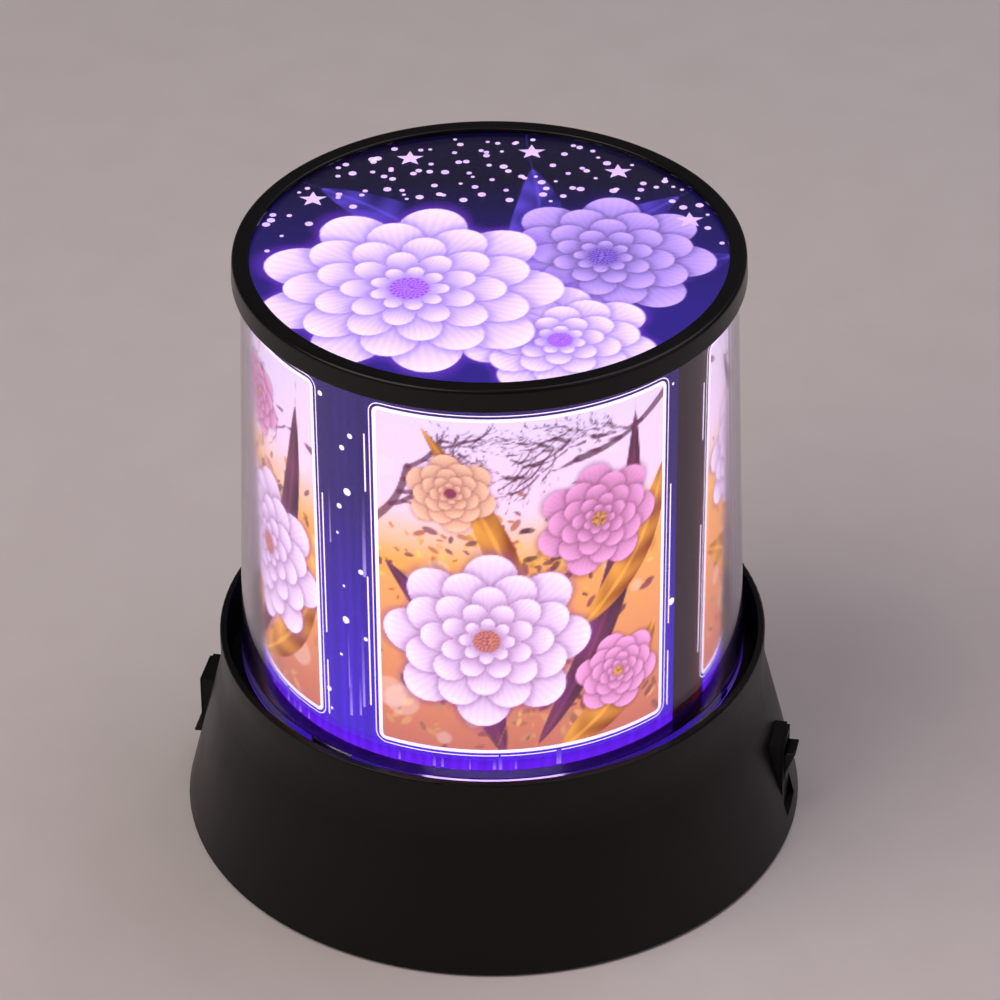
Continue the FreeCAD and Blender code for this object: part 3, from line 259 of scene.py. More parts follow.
def rocker_prism(node, side):
    """The rocker's side outline, hollow between its ends, turned by its tilt and carried along Y."""
    low, high = millimetres(node)
    half, rise, hollow, keel = ROCKER_LENGTH / 2, ROCKER_RISE, ROCKER_HOLLOW, ROCKER_KEEL
    outline = np.array([
        (-keel[0], -keel[1]), (ROCKER_FLANK, ROCKER_DRAFT - half), (rise, -half),
        (rise - hollow, -half / 4), (rise - hollow, half / 4), (rise, half),
        (ROCKER_FLANK, half - ROCKER_DRAFT), (-keel[0], keel[1])])
    outline[:, 0] *= side
    tilt = math.radians(ROCKER_TILT)
    x = outline[:, 0] * math.cos(tilt) + outline[:, 1] * math.sin(tilt)
    z = -outline[:, 0] * math.sin(tilt) + outline[:, 1] * math.cos(tilt)
    pivot_x = (high[0] - x.max()) if side > 0 else (low[0] - x.min())
    pivot_z = low[2] - z.min()
    corners = len(outline)
    ends = [np.stack([x + pivot_x, np.full(corners, y), z + pivot_z], axis=-1)
            for y in (-ROCKER_HALF_WIDTH, ROCKER_HALF_WIDTH)]
    caps = [list(range(corners)), list(range(2 * corners - 1, corners - 1, -1))]
    if side < 0:
        caps = [cap[::-1] for cap in caps]
    sides = grid_faces(2, corners, closed_columns=True)
    if side > 0:
        sides = sides[:, ::-1]
    return np.concatenate(ends), [list(face) for face in sides] + caps


# Polished mould: the rocker's faces are the only mirror-like ones on the base.
rocker_abs = moulded("black_abs_polished", "#040304", "#080607", 0.17, grain=2.0, depth=0.006,
                     Specular_IOR_Level=0.35)
for use, side in (("light", 1), ("motor", -1)):
    rocker = add_piece(f"{use}_rocker_cap", *rocker_prism(f"{use}_rocker", side),
                       rocker_abs, f"{use}_rocker", "rocker_plastic")
    soften = rocker.modifiers.new("softened_edges", "BEVEL")
    soften.width = ROCKER_SOFTNESS * MM
    soften.segments = 4
    soften.limit_method = "ANGLE"
    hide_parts(f"{use}_rocker")

# The bezel is satin, so that it frames the rocker.
bezel_abs = moulded("black_abs_bezel", "#040304", "#080607", 0.42, grain=0.35, depth=0.015,
                    Specular_IOR_Level=0.2)
dress(bezel_abs, "light_switch_frame", "motor_switch_frame")


# Power inlet at the back: a barrel jack in a black nylon block, with a nickel centre pin.

inlet_nylon = moulded("black_nylon", "#151516", "#1c1b1c", 0.46, grain=0.6, depth=0.02)
dress(inlet_nylon, "dc_inlet")
dress(nickel, "dc_inlet_pin")

# Tin on the switches' blades is softer in shine than nickel.
tin = metal("tinned_brass", "#cfcdc6", 0.38, scratch=0.6)
dress(tin, "light_switch_blades", "motor_switch_blades")


# Control board and wires: green solder mask on glass fibre, on two standoffs over the bay, with
# the chip that steps the lamp's colours. Stranded wires in PVC run to the lamp, motor, switches,
# inlet and batteries.


def circuit_board(name):
    """Solder mask over copper: a brick pattern stands for the tracks, a shade lighter than the mask."""
    material, tree, shader, place = start_material(name, "#14532f", 0.3, Coat_Weight=0.4)
    tracks = add_node(tree, "TexBrick", {
        "Vector": place, "Color1": linear("#14532f"), "Color2": linear("#17603a"),
        "Mortar": linear("#0f3f24"), "Scale": 1 / (6 * MM), "Mortar Size": 0.03,
        "Brick Width": 0.6, "Row Height": 0.25})
    fibre = add_node(tree, "TexNoise", {"Vector": place, "Scale": 1 / (0.4 * MM)})
    bump = add_node(tree, "Bump", {"Height": fibre.outputs["Fac"], "Distance": 0.01 * MM})
    tree.links.new(tracks.outputs["Color"], shader.inputs["Base Color"])
    tree.links.new(bump.outputs["Normal"], shader.inputs["Normal"])
    return material


dress(circuit_board("solder_mask_on_glass_fibre"), "control_board")

# Matt black epoxy with a fine moulded skin.
chip_epoxy = moulded("moulded_epoxy", "#1b1b1d", "#222225", 0.55, grain=0.2, depth=0.01)
dress(chip_epoxy, "control_chip")

capacitor_sleeve = moulded("capacitor_sleeve", "#1c2a4e", "#233158", 0.28, grain=1.0, depth=0.01)
dress(capacitor_sleeve, "capacitor")

# Soft extruded PVC: a faint gloss, no grain.
for wire_name, wire_shade in (("led_leads", "#b9b4b0"), ("motor_leads", "#a02a24"),
                              ("inlet_leads", "#1c1b1d"), ("light_switch_leads", "#8d3a2b"),
                              ("motor_switch_leads", "#2a4f8c"), ("battery_leads", "#9c2a2a")):
    dress(moulded("pvc_wire_" + wire_name, wire_shade, wire_shade, 0.4, grain=0.8, depth=0.008),
          wire_name)


# Drive: a small geared motor under the deck turns a pinion, an idler and the ring gear under the
# turntable. The gears are white acetal, the turntable is black ABS, and it runs on a brass bush
# round the hub, with a steel washer under it.

# Rolled steel can, bright but slightly rough.
motor_steel = metal("rolled_steel_can", "#aeb0b2", 0.35, scratch=1.2)
dress(motor_steel, "motor_can", "gearbox_case")

ground_steel = metal("ground_steel", "#c3c4c6", 0.18, scratch=0.4)
dress(ground_steel, "motor_shaft", "idler_pin", "thrust_washer")

# Sintered brass is porous, so it is dull and mottled.
sintered_brass = metal("sintered_brass", "#b08d4a", 0.42, scratch=0.35)
dress(sintered_brass, "bearing_bush")

# Acetal is milky: a little light goes into it and comes back.
acetal = moulded("white_acetal", "#e4e1d8", "#ebe8e0", 0.34, grain=0.5, depth=0.01,
                 Subsurface_Weight=0.15, Subsurface_Scale=0.6 * MM)
dress(acetal, "motor_pinion", "idler_gear")

turntable_abs = moulded("black_abs_turntable", "#121012", "#181618", 0.48, grain=0.4, depth=0.02)
dress(turntable_abs, "turntable")


# Lamp: a white post is screwed to the hub, with a round aluminium-backed board of six LEDs on it
# and a frosted dome over them. The post is ABS, the dome is blown polycarbonate, and it glows.

white_abs = moulded("white_abs", "#d9d6d2", "#e2e0dc", 0.42, grain=0.4, depth=0.015)
dress(white_abs, "led_post")
dress(circuit_board("solder_mask_on_aluminium"), "led_board")


def lit_plastic(name, shade, glow, strength, roughness):
    """Milky plastic lit from behind: a white body with an even glow, mottled by slow noise."""
    material, tree, shader, place = start_material(
        name, shade, roughness, Transmission_Weight=0.2, IOR=1.58, Emission_Strength=strength)
    cloud = add_node(tree, "TexNoise", {"Vector": place, "Scale": 1 / (9 * MM), "Detail": 2.0})
    light = add_node(tree, "Mix", {
        0: cloud.outputs["Fac"], 6: linear(glow), 7: linear(shade)}, data_type="RGBA")
    tree.links.new(light.outputs[2], shader.inputs["Emission Color"])
    return material


# The frosting spreads the light of the six LEDs into one even glow.
dress(lit_plastic("frosted_polycarbonate", "#f1ecff", "#b98cff", 0.9, 0.55), "diffuser_dome")
dress(lit_plastic("led_epoxy_lens", "#ffffff", "#d9b8ff", 4.0, 0.15), "leds")


# Drum sleeve: a clear tapered tube with an inner ledge at its foot. It is moulded acrylic,
# polished inside and out, and stands on the turntable with three lugs in its ledge's slots.

SLEEVE_TOP_RADIUS = 43.85
SLEEVE_WALL = 1.5
LEDGE_WALL = 2.0
LEDGE_RADIUS = 39.5
SLOT_RADIUS = 41.2
SLOT_HALF_ANGLE = 6.2
SLOT_AZIMUTHS = (90, 210, 330)
DRUM_STEPS = 288


def rounded(corners, steps=5):
    """Outline of radius and height with its corners eased.

    Each corner has its own rounding. A parabola replaces it, from one rounding before it to one
    after it: (1 - t)^2 a + 2 t (1 - t) c + t^2 b. A guard point on each side keeps the flats flat.
    """
    spots = np.array([corner[:2] for corner in corners], float)
    points = []
    for index, (_, _, rounding) in enumerate(corners):
        corner = spots[index]
        back = spots[index - 1] - corner
        on = spots[(index + 1) % len(corners)] - corner
        back /= np.linalg.norm(back)
        on /= np.linalg.norm(on)
        share = np.linspace(0, 1, steps)[:, None]
        start, end = corner + back * rounding, corner + on * rounding
        curve = (1 - share) ** 2 * start + 2 * share * (1 - share) * corner + share ** 2 * end
        points += [start + back * rounding * 0.3, *curve, end + on * rounding * 0.3]
    return np.array(points)


def on_drum(azimuth, height, radius):
    """Point of the drum: azimuth in degrees from the front toward +X, height and radius in mm."""
    turn = np.radians(azimuth)
    return np.stack(np.broadcast_arrays(
        radius * np.sin(turn), -radius * np.cos(turn), height), axis=-1)


def turned(outline, azimuths):
    """Closed ring: the outline, anticlockwise in radius and height, carried round the azimuths."""
    points = on_drum(azimuths[None, :], outline[..., 1], outline[..., 0])
    return points, grid_faces(*points.shape[:2], closed_rows=True, closed_columns=True)


def azimuths_with(edges):
    """Even azimuths round the drum, with a close pair at each edge so that it stays crisp."""
    even = np.linspace(0, 360, DRUM_STEPS, endpoint=False)
    pairs = np.array([edge % 360 + step for edge in edges for step in (-0.04, 0.04)])
    return np.unique(np.concatenate([even, pairs]))


def near(azimuths, middle, half_angle):
    """True where an azimuth lies within the half angle of the middle, going round."""
    return np.abs((azimuths - middle + 180) % 360 - 180) < half_angle


def sleeve_shape():
    """The sleeve's wall outline; its ledge is cut back to the slots' radius over their azimuths."""
    low, high = millimetres("clear_sleeve")
    foot_radius = high[0]
    slope = (foot_radius - SLEEVE_TOP_RADIUS) / (high[2] - low[2])
    inner_foot = foot_radius - slope * LEDGE_WALL - SLEEVE_WALL
    ledge_top = low[2] + LEDGE_WALL
    edges = [middle + way * SLOT_HALF_ANGLE for middle in SLOT_AZIMUTHS for way in (-1, 1)]
    azimuths = azimuths_with(edges)
    outline = rounded([
        (foot_radius, low[2], 0.3), (SLEEVE_TOP_RADIUS, high[2], 0.2),
        (SLEEVE_TOP_RADIUS - SLEEVE_WALL, high[2], 0.2), (inner_foot, ledge_top, 0.25),
        (LEDGE_RADIUS, ledge_top, 0.2), (LEDGE_RADIUS, low[2], 0.2)])
    outline = np.repeat(outline[:, None], len(azimuths), axis=1)
    slotted = np.any([near(azimuths, middle, SLOT_HALF_ANGLE) for middle in SLOT_AZIMUTHS], axis=0)
    cut_back = np.maximum(outline[..., 0], SLOT_RADIUS)
    outline[..., 0] = np.where(slotted[None, :], cut_back, outline[..., 0])
    return turned(outline, azimuths)


def clear_plastic(name, shade, roughness, ior):
    """Clear plastic: full transmission, with fine handling haze in the gloss."""
    material, tree, shader, place = start_material(
        name, shade, roughness, Transmission_Weight=1.0, IOR=ior)
    haze = add_node(tree, "TexNoise", {"Vector": place, "Scale": 1 / (3 * MM), "Detail": 5.0})
    gloss = add_node(tree, "MapRange", {
        "Value": haze.outputs["Fac"], "From Min": 0.35, "From Max": 0.75,
        "To Min": roughness, "To Max": roughness + 0.05})
    tree.links.new(gloss.outputs["Result"], shader.inputs["Roughness"])
    return material


# Polished acrylic: almost no haze, and a grey-lilac line where the wall is seen edge on.
clear_acrylic = clear_plastic("clear_acrylic", "#f6ecff", 0.05, 1.49)
sleeve = add_piece("drum_sleeve", *sleeve_shape(), clear_acrylic, "drum", "clear_plastic")
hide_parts("clear_sleeve")


# Side print: a strip of PET film, rolled inside the sleeve and lapped at a seam. It is printed
# with translucent inks, four framed flower pictures between violet bands, and lit from behind,
# so each colour is the lamp's light through the ink. The picture inks are fine layers on it.

FILM_RADIUS = 42.15
FILM_WALL = 0.3
SEAM_START = 61.0
SEAM_SPAN = 13.5
PICTURE_AZIMUTH = 20.2
PICTURE_COUNT = 4
PICTURE_HALF_ANGLE = 35.75
PICTURE_LOW = 40.0
PICTURE_HIGH = 110.0
INK_STEP = 0.3
INK_LIFT = 0.03
LAMP_HEIGHT = 62.0
LAMP_REACH = 46.0


def toned(low, high, share):
    """Colour between two hex shades: low + (high - low) * share at every point."""
    low_colour, high_colour = (np.array(linear(shade)[:3]) for shade in (low, high))
    return low_colour + (high_colour - low_colour) * np.clip(share, 0, 1)[..., None]


def lay_ink(picture, colour, share):
    """Ink over ink: picture + (colour - picture) * share."""
    picture += (colour - picture) * np.clip(share, 0, 1)[..., None]


def inside(distance, softness=0.3):
    """1 well inside and 0 well outside: 3 s^2 - 2 s^3 of the distance over the softness."""
    share = np.clip(distance / softness + 0.5, 0, 1)
    return share * share * (3 - 2 * share)


def paint_blossom(picture, x, y, middle, radius, petals, turn, tints):
    """Flower of five rings of petals, from the outside in.

    A petal's rim is at size * (0.6 + 0.4 * |cos(petals * angle / 2)| ^ 0.5). Its colour goes from
    deep at the heart to pale at the tip, and each ring first shades the ring under it.
    """
    heart, deep, pale = tints
    across, up = x - middle[0], y - middle[1]
    reach, angle = np.hypot(across, up), np.arctan2(up, across)
    for layer in range(5):
        size = radius * (1 - 0.185 * layer)
        swing = (angle * petals + layer * math.pi) / 2 + turn
        lobe = np.abs(np.cos(swing))
        rim = size * (0.6 + 0.4 * lobe ** 0.5)
        share = reach / rim
        shadow = inside(rim * 1.06 - reach, radius * 0.16)
        lay_ink(picture, toned(deep, deep, share), shadow * 0.5)
        veins = 0.05 * np.sin(angle * petals * 9) * share
        tone = share ** 1.7 * (0.42 + 0.58 * lobe) + veins + 0.05
        lay_ink(picture, toned(deep, pale, tone), inside(rim - reach))
    stamens = 0.5 + 0.5 * np.cos(angle * 17) * np.cos(reach * 5)
    lay_ink(picture, toned(deep, heart, stamens), inside(radius * 0.13 - reach))


def paint_leaf(picture, x, y, foot, tip, width, tints):
    """Leaf between two points: its half width is width * sin(pi * share) ^ 0.7 along its length."""
    dark, light = tints
    run = np.subtract(tip, foot)
    length = math.hypot(*run)
    share = ((x - foot[0]) * run[0] + (y - foot[1]) * run[1]) / length ** 2
    side = ((y - foot[1]) * run[0] - (x - foot[0]) * run[1]) / length
    side = side + 0.08 * length * np.sin(math.pi * share)
    half = width * np.sin(math.pi * np.clip(share, 0, 1)) ** 0.7 * (1.1 - 0.35 * share)
    rib = inside(0.35 - np.abs(side), 0.5)
    veins = 0.18 * np.sin((share * 26 - np.abs(side) / width * 3))
    lay_ink(picture, toned(dark, light, 0.45 + 0.35 * side / width + veins + 0.4 * rib),
            inside(half - np.abs(side)))


def paint_twigs(picture, x, y, seed, foot, heading, length, width):
    """Bare twigs: a stroke bows by a sine, and four thinner and shorter ones fork off along it."""
    draw = np.random.default_rng(seed)
    shoots = [(np.array(foot, float), heading, length, width)]
    while shoots:
        start, lean, reach, thick = shoots.pop()
        run = reach * np.array([math.cos(lean), math.sin(lean)])
        share = ((x - start[0]) * run[0] + (y - start[1]) * run[1]) / reach ** 2
        share = np.clip(share, 0, 1)
        bend = 0.06 * reach * np.sin(math.pi * share)
        gap = np.hypot(x - start[0] - share * run[0] - bend, y - start[1] - share * run[1] + bend)
        lay_ink(picture, toned("#6a2446", "#4a1230", share), inside(thick / 2 - gap, 0.25) * 0.85)
        if thick > 0.25:
            for fork in (0.38, 0.62, 0.82, 1.0):
                turn = draw.uniform(0.25, 0.75) * draw.choice([-1, 1])
                aside = 0.06 * reach * math.sin(math.pi * fork)
                shoots.append((start + run * fork + np.array([aside, -aside]), lean + turn,
                               reach * draw.uniform(0.45, 0.75), thick * draw.uniform(0.42, 0.66)))


def paint_foliage(picture, x, y, seed, count, middle, spread, tints):
    """Loose leaf litter: small dabs, each turned its own way, thickest near the middle."""
    draw = np.random.default_rng(seed)
    dark, light = tints
    for _ in range(count):
        spot = np.array(middle) + draw.normal(0, 1, 2) * spread
        turn, size = draw.uniform(0, math.pi), draw.uniform(0.5, 1.5)
        along = (x - spot[0]) * math.cos(turn) + (y - spot[1]) * math.sin(turn)
        side = (y - spot[1]) * math.cos(turn) - (x - spot[0]) * math.sin(turn)
        dab = inside(1 - np.hypot(along / size, side / (size * 0.45)), 0.5)
        tone = np.full_like(x, draw.uniform(0, 1))
        lay_ink(picture, toned(dark, light, tone), dab * 0.8)


def paint_glints(picture, x, y, seed, count, span, tint, strength):
    """Out-of-focus lights: soft discs scattered by a seeded draw."""
    draw = np.random.default_rng(seed)
    for _ in range(count):
        spot = draw.uniform(-1, 1, 2) * span
        size = draw.uniform(0.8, 3.4)
        disc = inside(size - np.hypot(x - spot[0], y - spot[1]), 0.8)
        lay_ink(picture, toned(tint, tint, disc), disc * strength)


def lamp_light(height):
    """Brightness of the film: 0.8 + 0.4 * e ^ -s^2, with s the height from the lamp over its reach."""
    return 0.8 + 0.4 * np.exp(-((height - LAMP_HEIGHT) / LAMP_REACH) ** 2)


WHITE_LILAC = ("#e0913c", "#7a2478", "#fbe6fc")
ROSE = ("#f0b04a", "#6a1248", "#f2a8d4")
PEACH = ("#7c2c56", "#983648", "#ffd0a4")
PLUM_LEAF = ("#2c0a24", "#7d3a5c")
AMBER_LEAF = ("#8a3c10", "#f2ac42")

# Each picture: leaves as foot, tip, half width and tints, then blossoms as middle, radius,
# petals, turn and tints, then twigs as foot, heading and length, in mm from the middle.
FLOWERS = [
    ([((-4, -36), (-25, 4), 3.6, PLUM_LEAF), ((6, -36), (25, -14), 4.2, AMBER_LEAF),
      ((2, -34), (20, 32), 3.2, PLUM_LEAF), ((0, -20), (-18, 33), 3.0, AMBER_LEAF),
      ((10, -10), (27, 20), 3.4, AMBER_LEAF)],
     [((13, 12), 11.5, 7, 0.4, ROSE), ((-13, 20), 8.0, 6, 1.1, PEACH),
      ((-7, -11), 18.5, 8, 0.2, WHITE_LILAC), ((17, -22), 8.5, 6, 0.8, ROSE)],
     [((27, 34), 205, 20), ((-27, 12), 62, 14)]),
    ([((0, -36), (-20, 30), 3.4, PLUM_LEAF), ((4, -36), (24, 18), 3.8, AMBER_LEAF),
      ((-2, -30), (-26, -8), 4.0, AMBER_LEAF)],
     [((-11, 8), 14.0, 8, 0.7, WHITE_LILAC), ((12, -12), 13.0, 7, 0.1, ROSE),
      ((10, 22), 8.5, 6, 0.5, PEACH)],
     [((-27, 33), -25, 20), ((27, 6), 118, 15)]),
    ([((-6, -36), (-22, 20), 3.6, AMBER_LEAF), ((2, -36), (6, 34), 3.2, PLUM_LEAF),
      ((8, -36), (26, 6), 4.0, PLUM_LEAF)],
     [((6, 14), 13.5, 7, 0.9, ROSE), ((-9, -14), 16.0, 9, 0.3, PEACH),
      ((18, -18), 8.0, 6, 0.2, WHITE_LILAC)],
     [((-27, 30), -15, 21), ((27, 30), 190, 12)]),
    ([((0, -36), (22, 28), 3.4, PLUM_LEAF), ((-4, -36), (-26, 10), 4.0, AMBER_LEAF),
      ((6, -34), (27, -6), 3.8, AMBER_LEAF)],
     [((10, -8), 17.0, 8, 0.6, WHITE_LILAC), ((-13, 14), 10.5, 7, 0.2, PEACH),
      ((8, 23), 8.0, 6, 0.9, ROSE)],
     [((27, 20), 150, 19), ((-27, 34), -40, 12)]),
]


def paint_flowers(x, y, number):
    """One framed picture: a sky of pale lilac, an amber middle and a rosy ground, then flowers."""
    leaves, blossoms, twigs = FLOWERS[number]
    picture = toned("#c0705c", "#eea65a", (y + 35) / 36)
    lay_ink(picture, toned("#f3ae3e", "#fbe3ee", (y - 4) / 16), inside(y - 4, 12))
    lay_ink(picture, toned("#fbd9ee", "#f6e6ff", (y - 16) / 18), inside(y - 16, 10))
    paint_foliage(picture, x, y, 40 + number, 200, (0, 5), (17, 5), ("#a8501c", "#ffd060"))
    paint_foliage(picture, x, y, 50 + number, 120, (0, -27), (17, 5), ("#6a2c3c", "#e6ac6c"))
    paint_foliage(picture, x, y, 70 + number, 130, (0, -4), (13, 12), ("#2c0a24", "#7a2c50"))
    for foot, heading, length in twigs:
        paint_twigs(picture, x, y, 60 + number, foot, math.radians(heading), length, 1.5)
    paint_glints(picture, x, y, 11 + number, 22, (26, 35), "#fff3e0", 0.22)
    for foot, tip, width, tints in leaves:
        paint_leaf(picture, x, y, foot, tip, width, tints)
    for middle, radius, petals, turn, tints in blossoms:
        paint_blossom(picture, x, y, middle, radius, petals, turn, tints)
    return picture


def add_print(name, points, colours, material):
    """Ink layer: a grid of points, each with its colour, over the film or the disc."""
    faces = grid_faces(*points.shape[:2])
    piece = add_piece(name, points, faces, material, "drum", "printed_film")
    keep_colours(piece, colours)
    return piece


def keep_colours(piece, colours):
    """Store a colour for each point of a piece as its attribute named ink."""
    ink = piece.data.attributes.new("ink", "FLOAT_COLOR", "POINT")
    flat = colours.reshape(-1, 3)
    ink.data.foreach_set("color", np.hstack([flat, np.ones((len(flat), 1))]).ravel())


def lit_print(name, strength, roughness):
    """Film lit from behind: the ink's colour both tints the surface and glows."""
    material, tree, shader, place = start_material(
        name, "#ffffff", roughness, Emission_Strength=strength, Specular_IOR_Level=0.0)
    ink = add_node(tree, "Attribute", attribute_name="ink").outputs["Color"]
    body = add_node(tree, "Mix", {0: 0.75, 6: ink, 7: linear("#08060a")}, data_type="RGBA")
    grain = add_node(tree, "TexNoise", {"Vector": place, "Scale": 1 / (0.35 * MM), "Detail": 2.0})
    dither = add_node(tree, "MapRange", {
        "Value": grain.outputs["Fac"], "To Min": 0.9, "To Max": 1.1})
    light = add_node(tree, "VectorMath", {0: ink, "Scale": dither.outputs["Result"]},
                     operation="SCALE")
    tree.links.new(body.outputs[2], shader.inputs["Base Color"])
    tree.links.new(light.outputs["Vector"], shader.inputs["Emission Color"])
    return material


# The ink's fine dither shows as a slight grain in the flat colours, as an ink-jet print's does.
backlit_film = lit_print("backlit_pet_film", 1.2, 0.45)


def band_colours(azimuth, height):
    """Violet between the pictures: deep at the top, bright blue violet low down, warmer at the foot.

    The lap of the seam is two films thick, so it is nearly black, with a faint brown streak that is a
    painted reflection of the surroundings in the sleeve.
    """
    share = (height - 35.5) / 80
    colour = toned("#3f12cc", "#2c1a6c", share * 1.5)
    lay_ink(colour, toned("#6a26ea", "#6a26ea", share), inside(2.4 - (height - 35.5), 4.0))
    streaks = 0.5 + 0.5 * np.sin(azimuth * 2.9 + 1.3 * np.sin(azimuth * 0.7))
    colour = colour * (0.78 + 0.3 * streaks ** 3)[..., None]
    seam = near(azimuth, SEAM_START + SEAM_SPAN / 2, SEAM_SPAN / 2)
    lay_ink(colour, toned("#1e0a18", "#1a0910", share), seam * 1.0)
    # The brown streak near the seam's end is a painted reflection of the surroundings in the sleeve, laid
    # into the film's colour.
    brown_reflection = near(azimuth, SEAM_START + SEAM_SPAN * 0.8, SEAM_SPAN * 0.14)
    lay_ink(colour, toned("#45120f", "#260a10", share), brown_reflection * 0.7)
    return colour * lamp_light(height)[..., None]


def film_shape():
    """The rolled strip: a thin ring, twice as thick over the lap of its seam."""
    low, high = millimetres("side_print")
    azimuths = azimuths_with([SEAM_START, SEAM_START + SEAM_SPAN])
    heights = np.linspace(low[2], high[2], 81)
    outer = np.stack([np.full(81, FILM_RADIUS), heights], axis=-1)
    inner = np.stack([np.full(81, FILM_RADIUS - FILM_WALL), heights[::-1]], axis=-1)
    outline = np.repeat(np.concatenate([outer, inner])[:, None], len(azimuths), axis=1)
    lap = near(azimuths, SEAM_START + SEAM_SPAN / 2, SEAM_SPAN / 2)[None, :]
    inside_face = outline[..., 0] < FILM_RADIUS - FILM_WALL / 2
    outline[..., 0] -= np.where(lap & inside_face, FILM_WALL, 0)
    points, faces = turned(outline, azimuths)
    return points, faces, band_colours(*np.broadcast_arrays(azimuths[None, :], outline[..., 1]))


film_points, film_faces, film_colours = film_shape()
film = add_piece("side_film", film_points, film_faces, backlit_film, "drum", "printed_film")
keep_colours(film, film_colours)
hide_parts("side_print")

for number in range(PICTURE_COUNT):
    half = math.radians(PICTURE_HALF_ANGLE) * FILM_RADIUS
    columns = np.linspace(-half, half, int(2 * half / INK_STEP))
    rows = np.linspace(PICTURE_LOW, PICTURE_HIGH, int((PICTURE_HIGH - PICTURE_LOW) / INK_STEP))
    x, height = np.meshgrid(columns, rows)
    middle_height = (PICTURE_LOW + PICTURE_HIGH) / 2
    colours = paint_flowers(x, height - middle_height, number) * lamp_light(height)[..., None]
    azimuth = PICTURE_AZIMUTH + number * 360 / PICTURE_COUNT + np.degrees(x / FILM_RADIUS)
    add_print(f"side_picture_{number + 1}", on_drum(azimuth, height, FILM_RADIUS + INK_LIFT),
              colours, backlit_film)


# Frames, stars and streaks of the side print: bare film, where no ink holds the light back, so
# they are the brightest lines on the drum.

LINE_LIFT = 0.05
LINE_STEPS = 24
FRAME_CORNER = 0.9
FRAME_LINES = ((-0.15, 0.7), (1.05, 0.2))
BAND_LIGHT_SIZES = [0.28, 0.34, 0.42, 0.52, 0.75]
SIDE_LINE_WIDTH = 0.3
# Short lines beside a picture: its side, the distance from it, and the line's foot and top.
SIDE_LINES = ((-1, 2.3, 46, 74), (1, 1.9, 58, 88), (-1, 2.3, 92, 104), (1, 1.9, 40, 52))


def on_film(across, heights, middle):
    """Flat patch of ink, in mm across from the middle azimuth, bent round the film."""
    azimuth = middle + np.degrees(across / FILM_RADIUS)
    return on_drum(azimuth, heights, FILM_RADIUS + LINE_LIFT)


def strip(across, low, high, width):
    """Upright line: a grid one cell wide, its points running up each side."""
    rise = np.linspace(low, high, LINE_STEPS)[:, None]
    return np.broadcast_to([across, across + width], (LINE_STEPS, 2)), np.repeat(rise, 2, axis=1)


def joined(patches, closed=False):
    """Many small grids as one mesh: their points end to end, their faces numbered on."""
    points, faces, count = [], [], 0
    for patch in patches:
        points.append(patch.reshape(-1, 3))
        faces.append(grid_faces(*patch.shape[:2], closed_columns=closed) + count)
        count += len(points[-1])
    return np.concatenate(points), np.concatenate(faces)


def rounded_frame(half, low, high, corner):
    """Rectangle with round corners: a quarter circle at each, and even points along the sides."""
    path = []
    for quarter, (way_x, way_y) in enumerate(((1, 1), (-1, 1), (-1, -1), (1, -1))):
        angle = np.linspace(0, math.pi / 2, 7) + quarter * math.pi / 2
        centre = (way_x * (half - corner), (low + high) / 2 + way_y * ((high - low) / 2 - corner))
        path.append(np.stack([centre[0] + corner * np.cos(angle),
                              centre[1] + corner * np.sin(angle)], axis=-1))
    sides = [np.linspace(path[index][-1], path[(index + 1) % 4][0], LINE_STEPS)[1:-1]
             for index in range(4)]
    return np.concatenate([part for pair in zip(path, sides) for part in pair])


def frame_loops(middle):
    """A thick bright line round a picture and a thin one outside it, each as a margin and a width."""
    half = math.radians(PICTURE_HALF_ANGLE) * FILM_RADIUS
    loops = []
    for margin, width in FRAME_LINES:
        edges = [rounded_frame(half + out, PICTURE_LOW - out, PICTURE_HIGH + out, FRAME_CORNER + out)
                 for out in (margin + width, margin)]
        loops.append(np.stack([on_film(*edge.T, middle) for edge in edges]))
    return loops


def bare_film(name, shade, strength):
    """Uninked film over the lamp: white body, even glow in the light's own tint."""
    material, tree, shader, place = start_material(name, shade, 0.35, Emission_Strength=strength)
    cloud = add_node(tree, "TexNoise", {"Vector": place, "Scale": 1 / (4 * MM)})
    light = add_node(tree, "Mix", {
        0: cloud.outputs["Fac"], 6: linear(shade), 7: linear("#ffffff")}, data_type="RGBA")
    tree.links.new(light.outputs[2], shader.inputs["Emission Color"])
    return material


clear_film = bare_film("bare_pet_film", "#f6e4ff", 1.35)
PICTURE_MIDDLES = [PICTURE_AZIMUTH + number * 360 / PICTURE_COUNT for number in range(PICTURE_COUNT)]
picture_frames = [loop for middle in PICTURE_MIDDLES for loop in frame_loops(middle)]
add_piece("side_picture_frames", *joined(picture_frames, closed=True), clear_film,
          "drum", "printed_film")


def off_seam(azimuth, margin):
    """True where an azimuth is clear of the seam's lap by the margin."""
    return not near(azimuth, SEAM_START + SEAM_SPAN / 2, SEAM_SPAN / 2 + margin)


def filled(rings):
    """Flat shapes as one mesh: each ring of points, anticlockwise from outside, is one face."""
    starts = np.cumsum([0] + [len(ring) for ring in rings])
    faces = [list(range(start, start + len(ring))) for start, ring in zip(starts, rings)]
    return np.concatenate(rings), faces


def round_light(spot, height, size):
    """Circle of twelve points: spot + size * cos, height + size * sin."""
    angle = np.linspace(0, 2 * math.pi, 12, endpoint=False)
    return np.array([spot + size * np.cos(angle), height + size * np.sin(angle)])


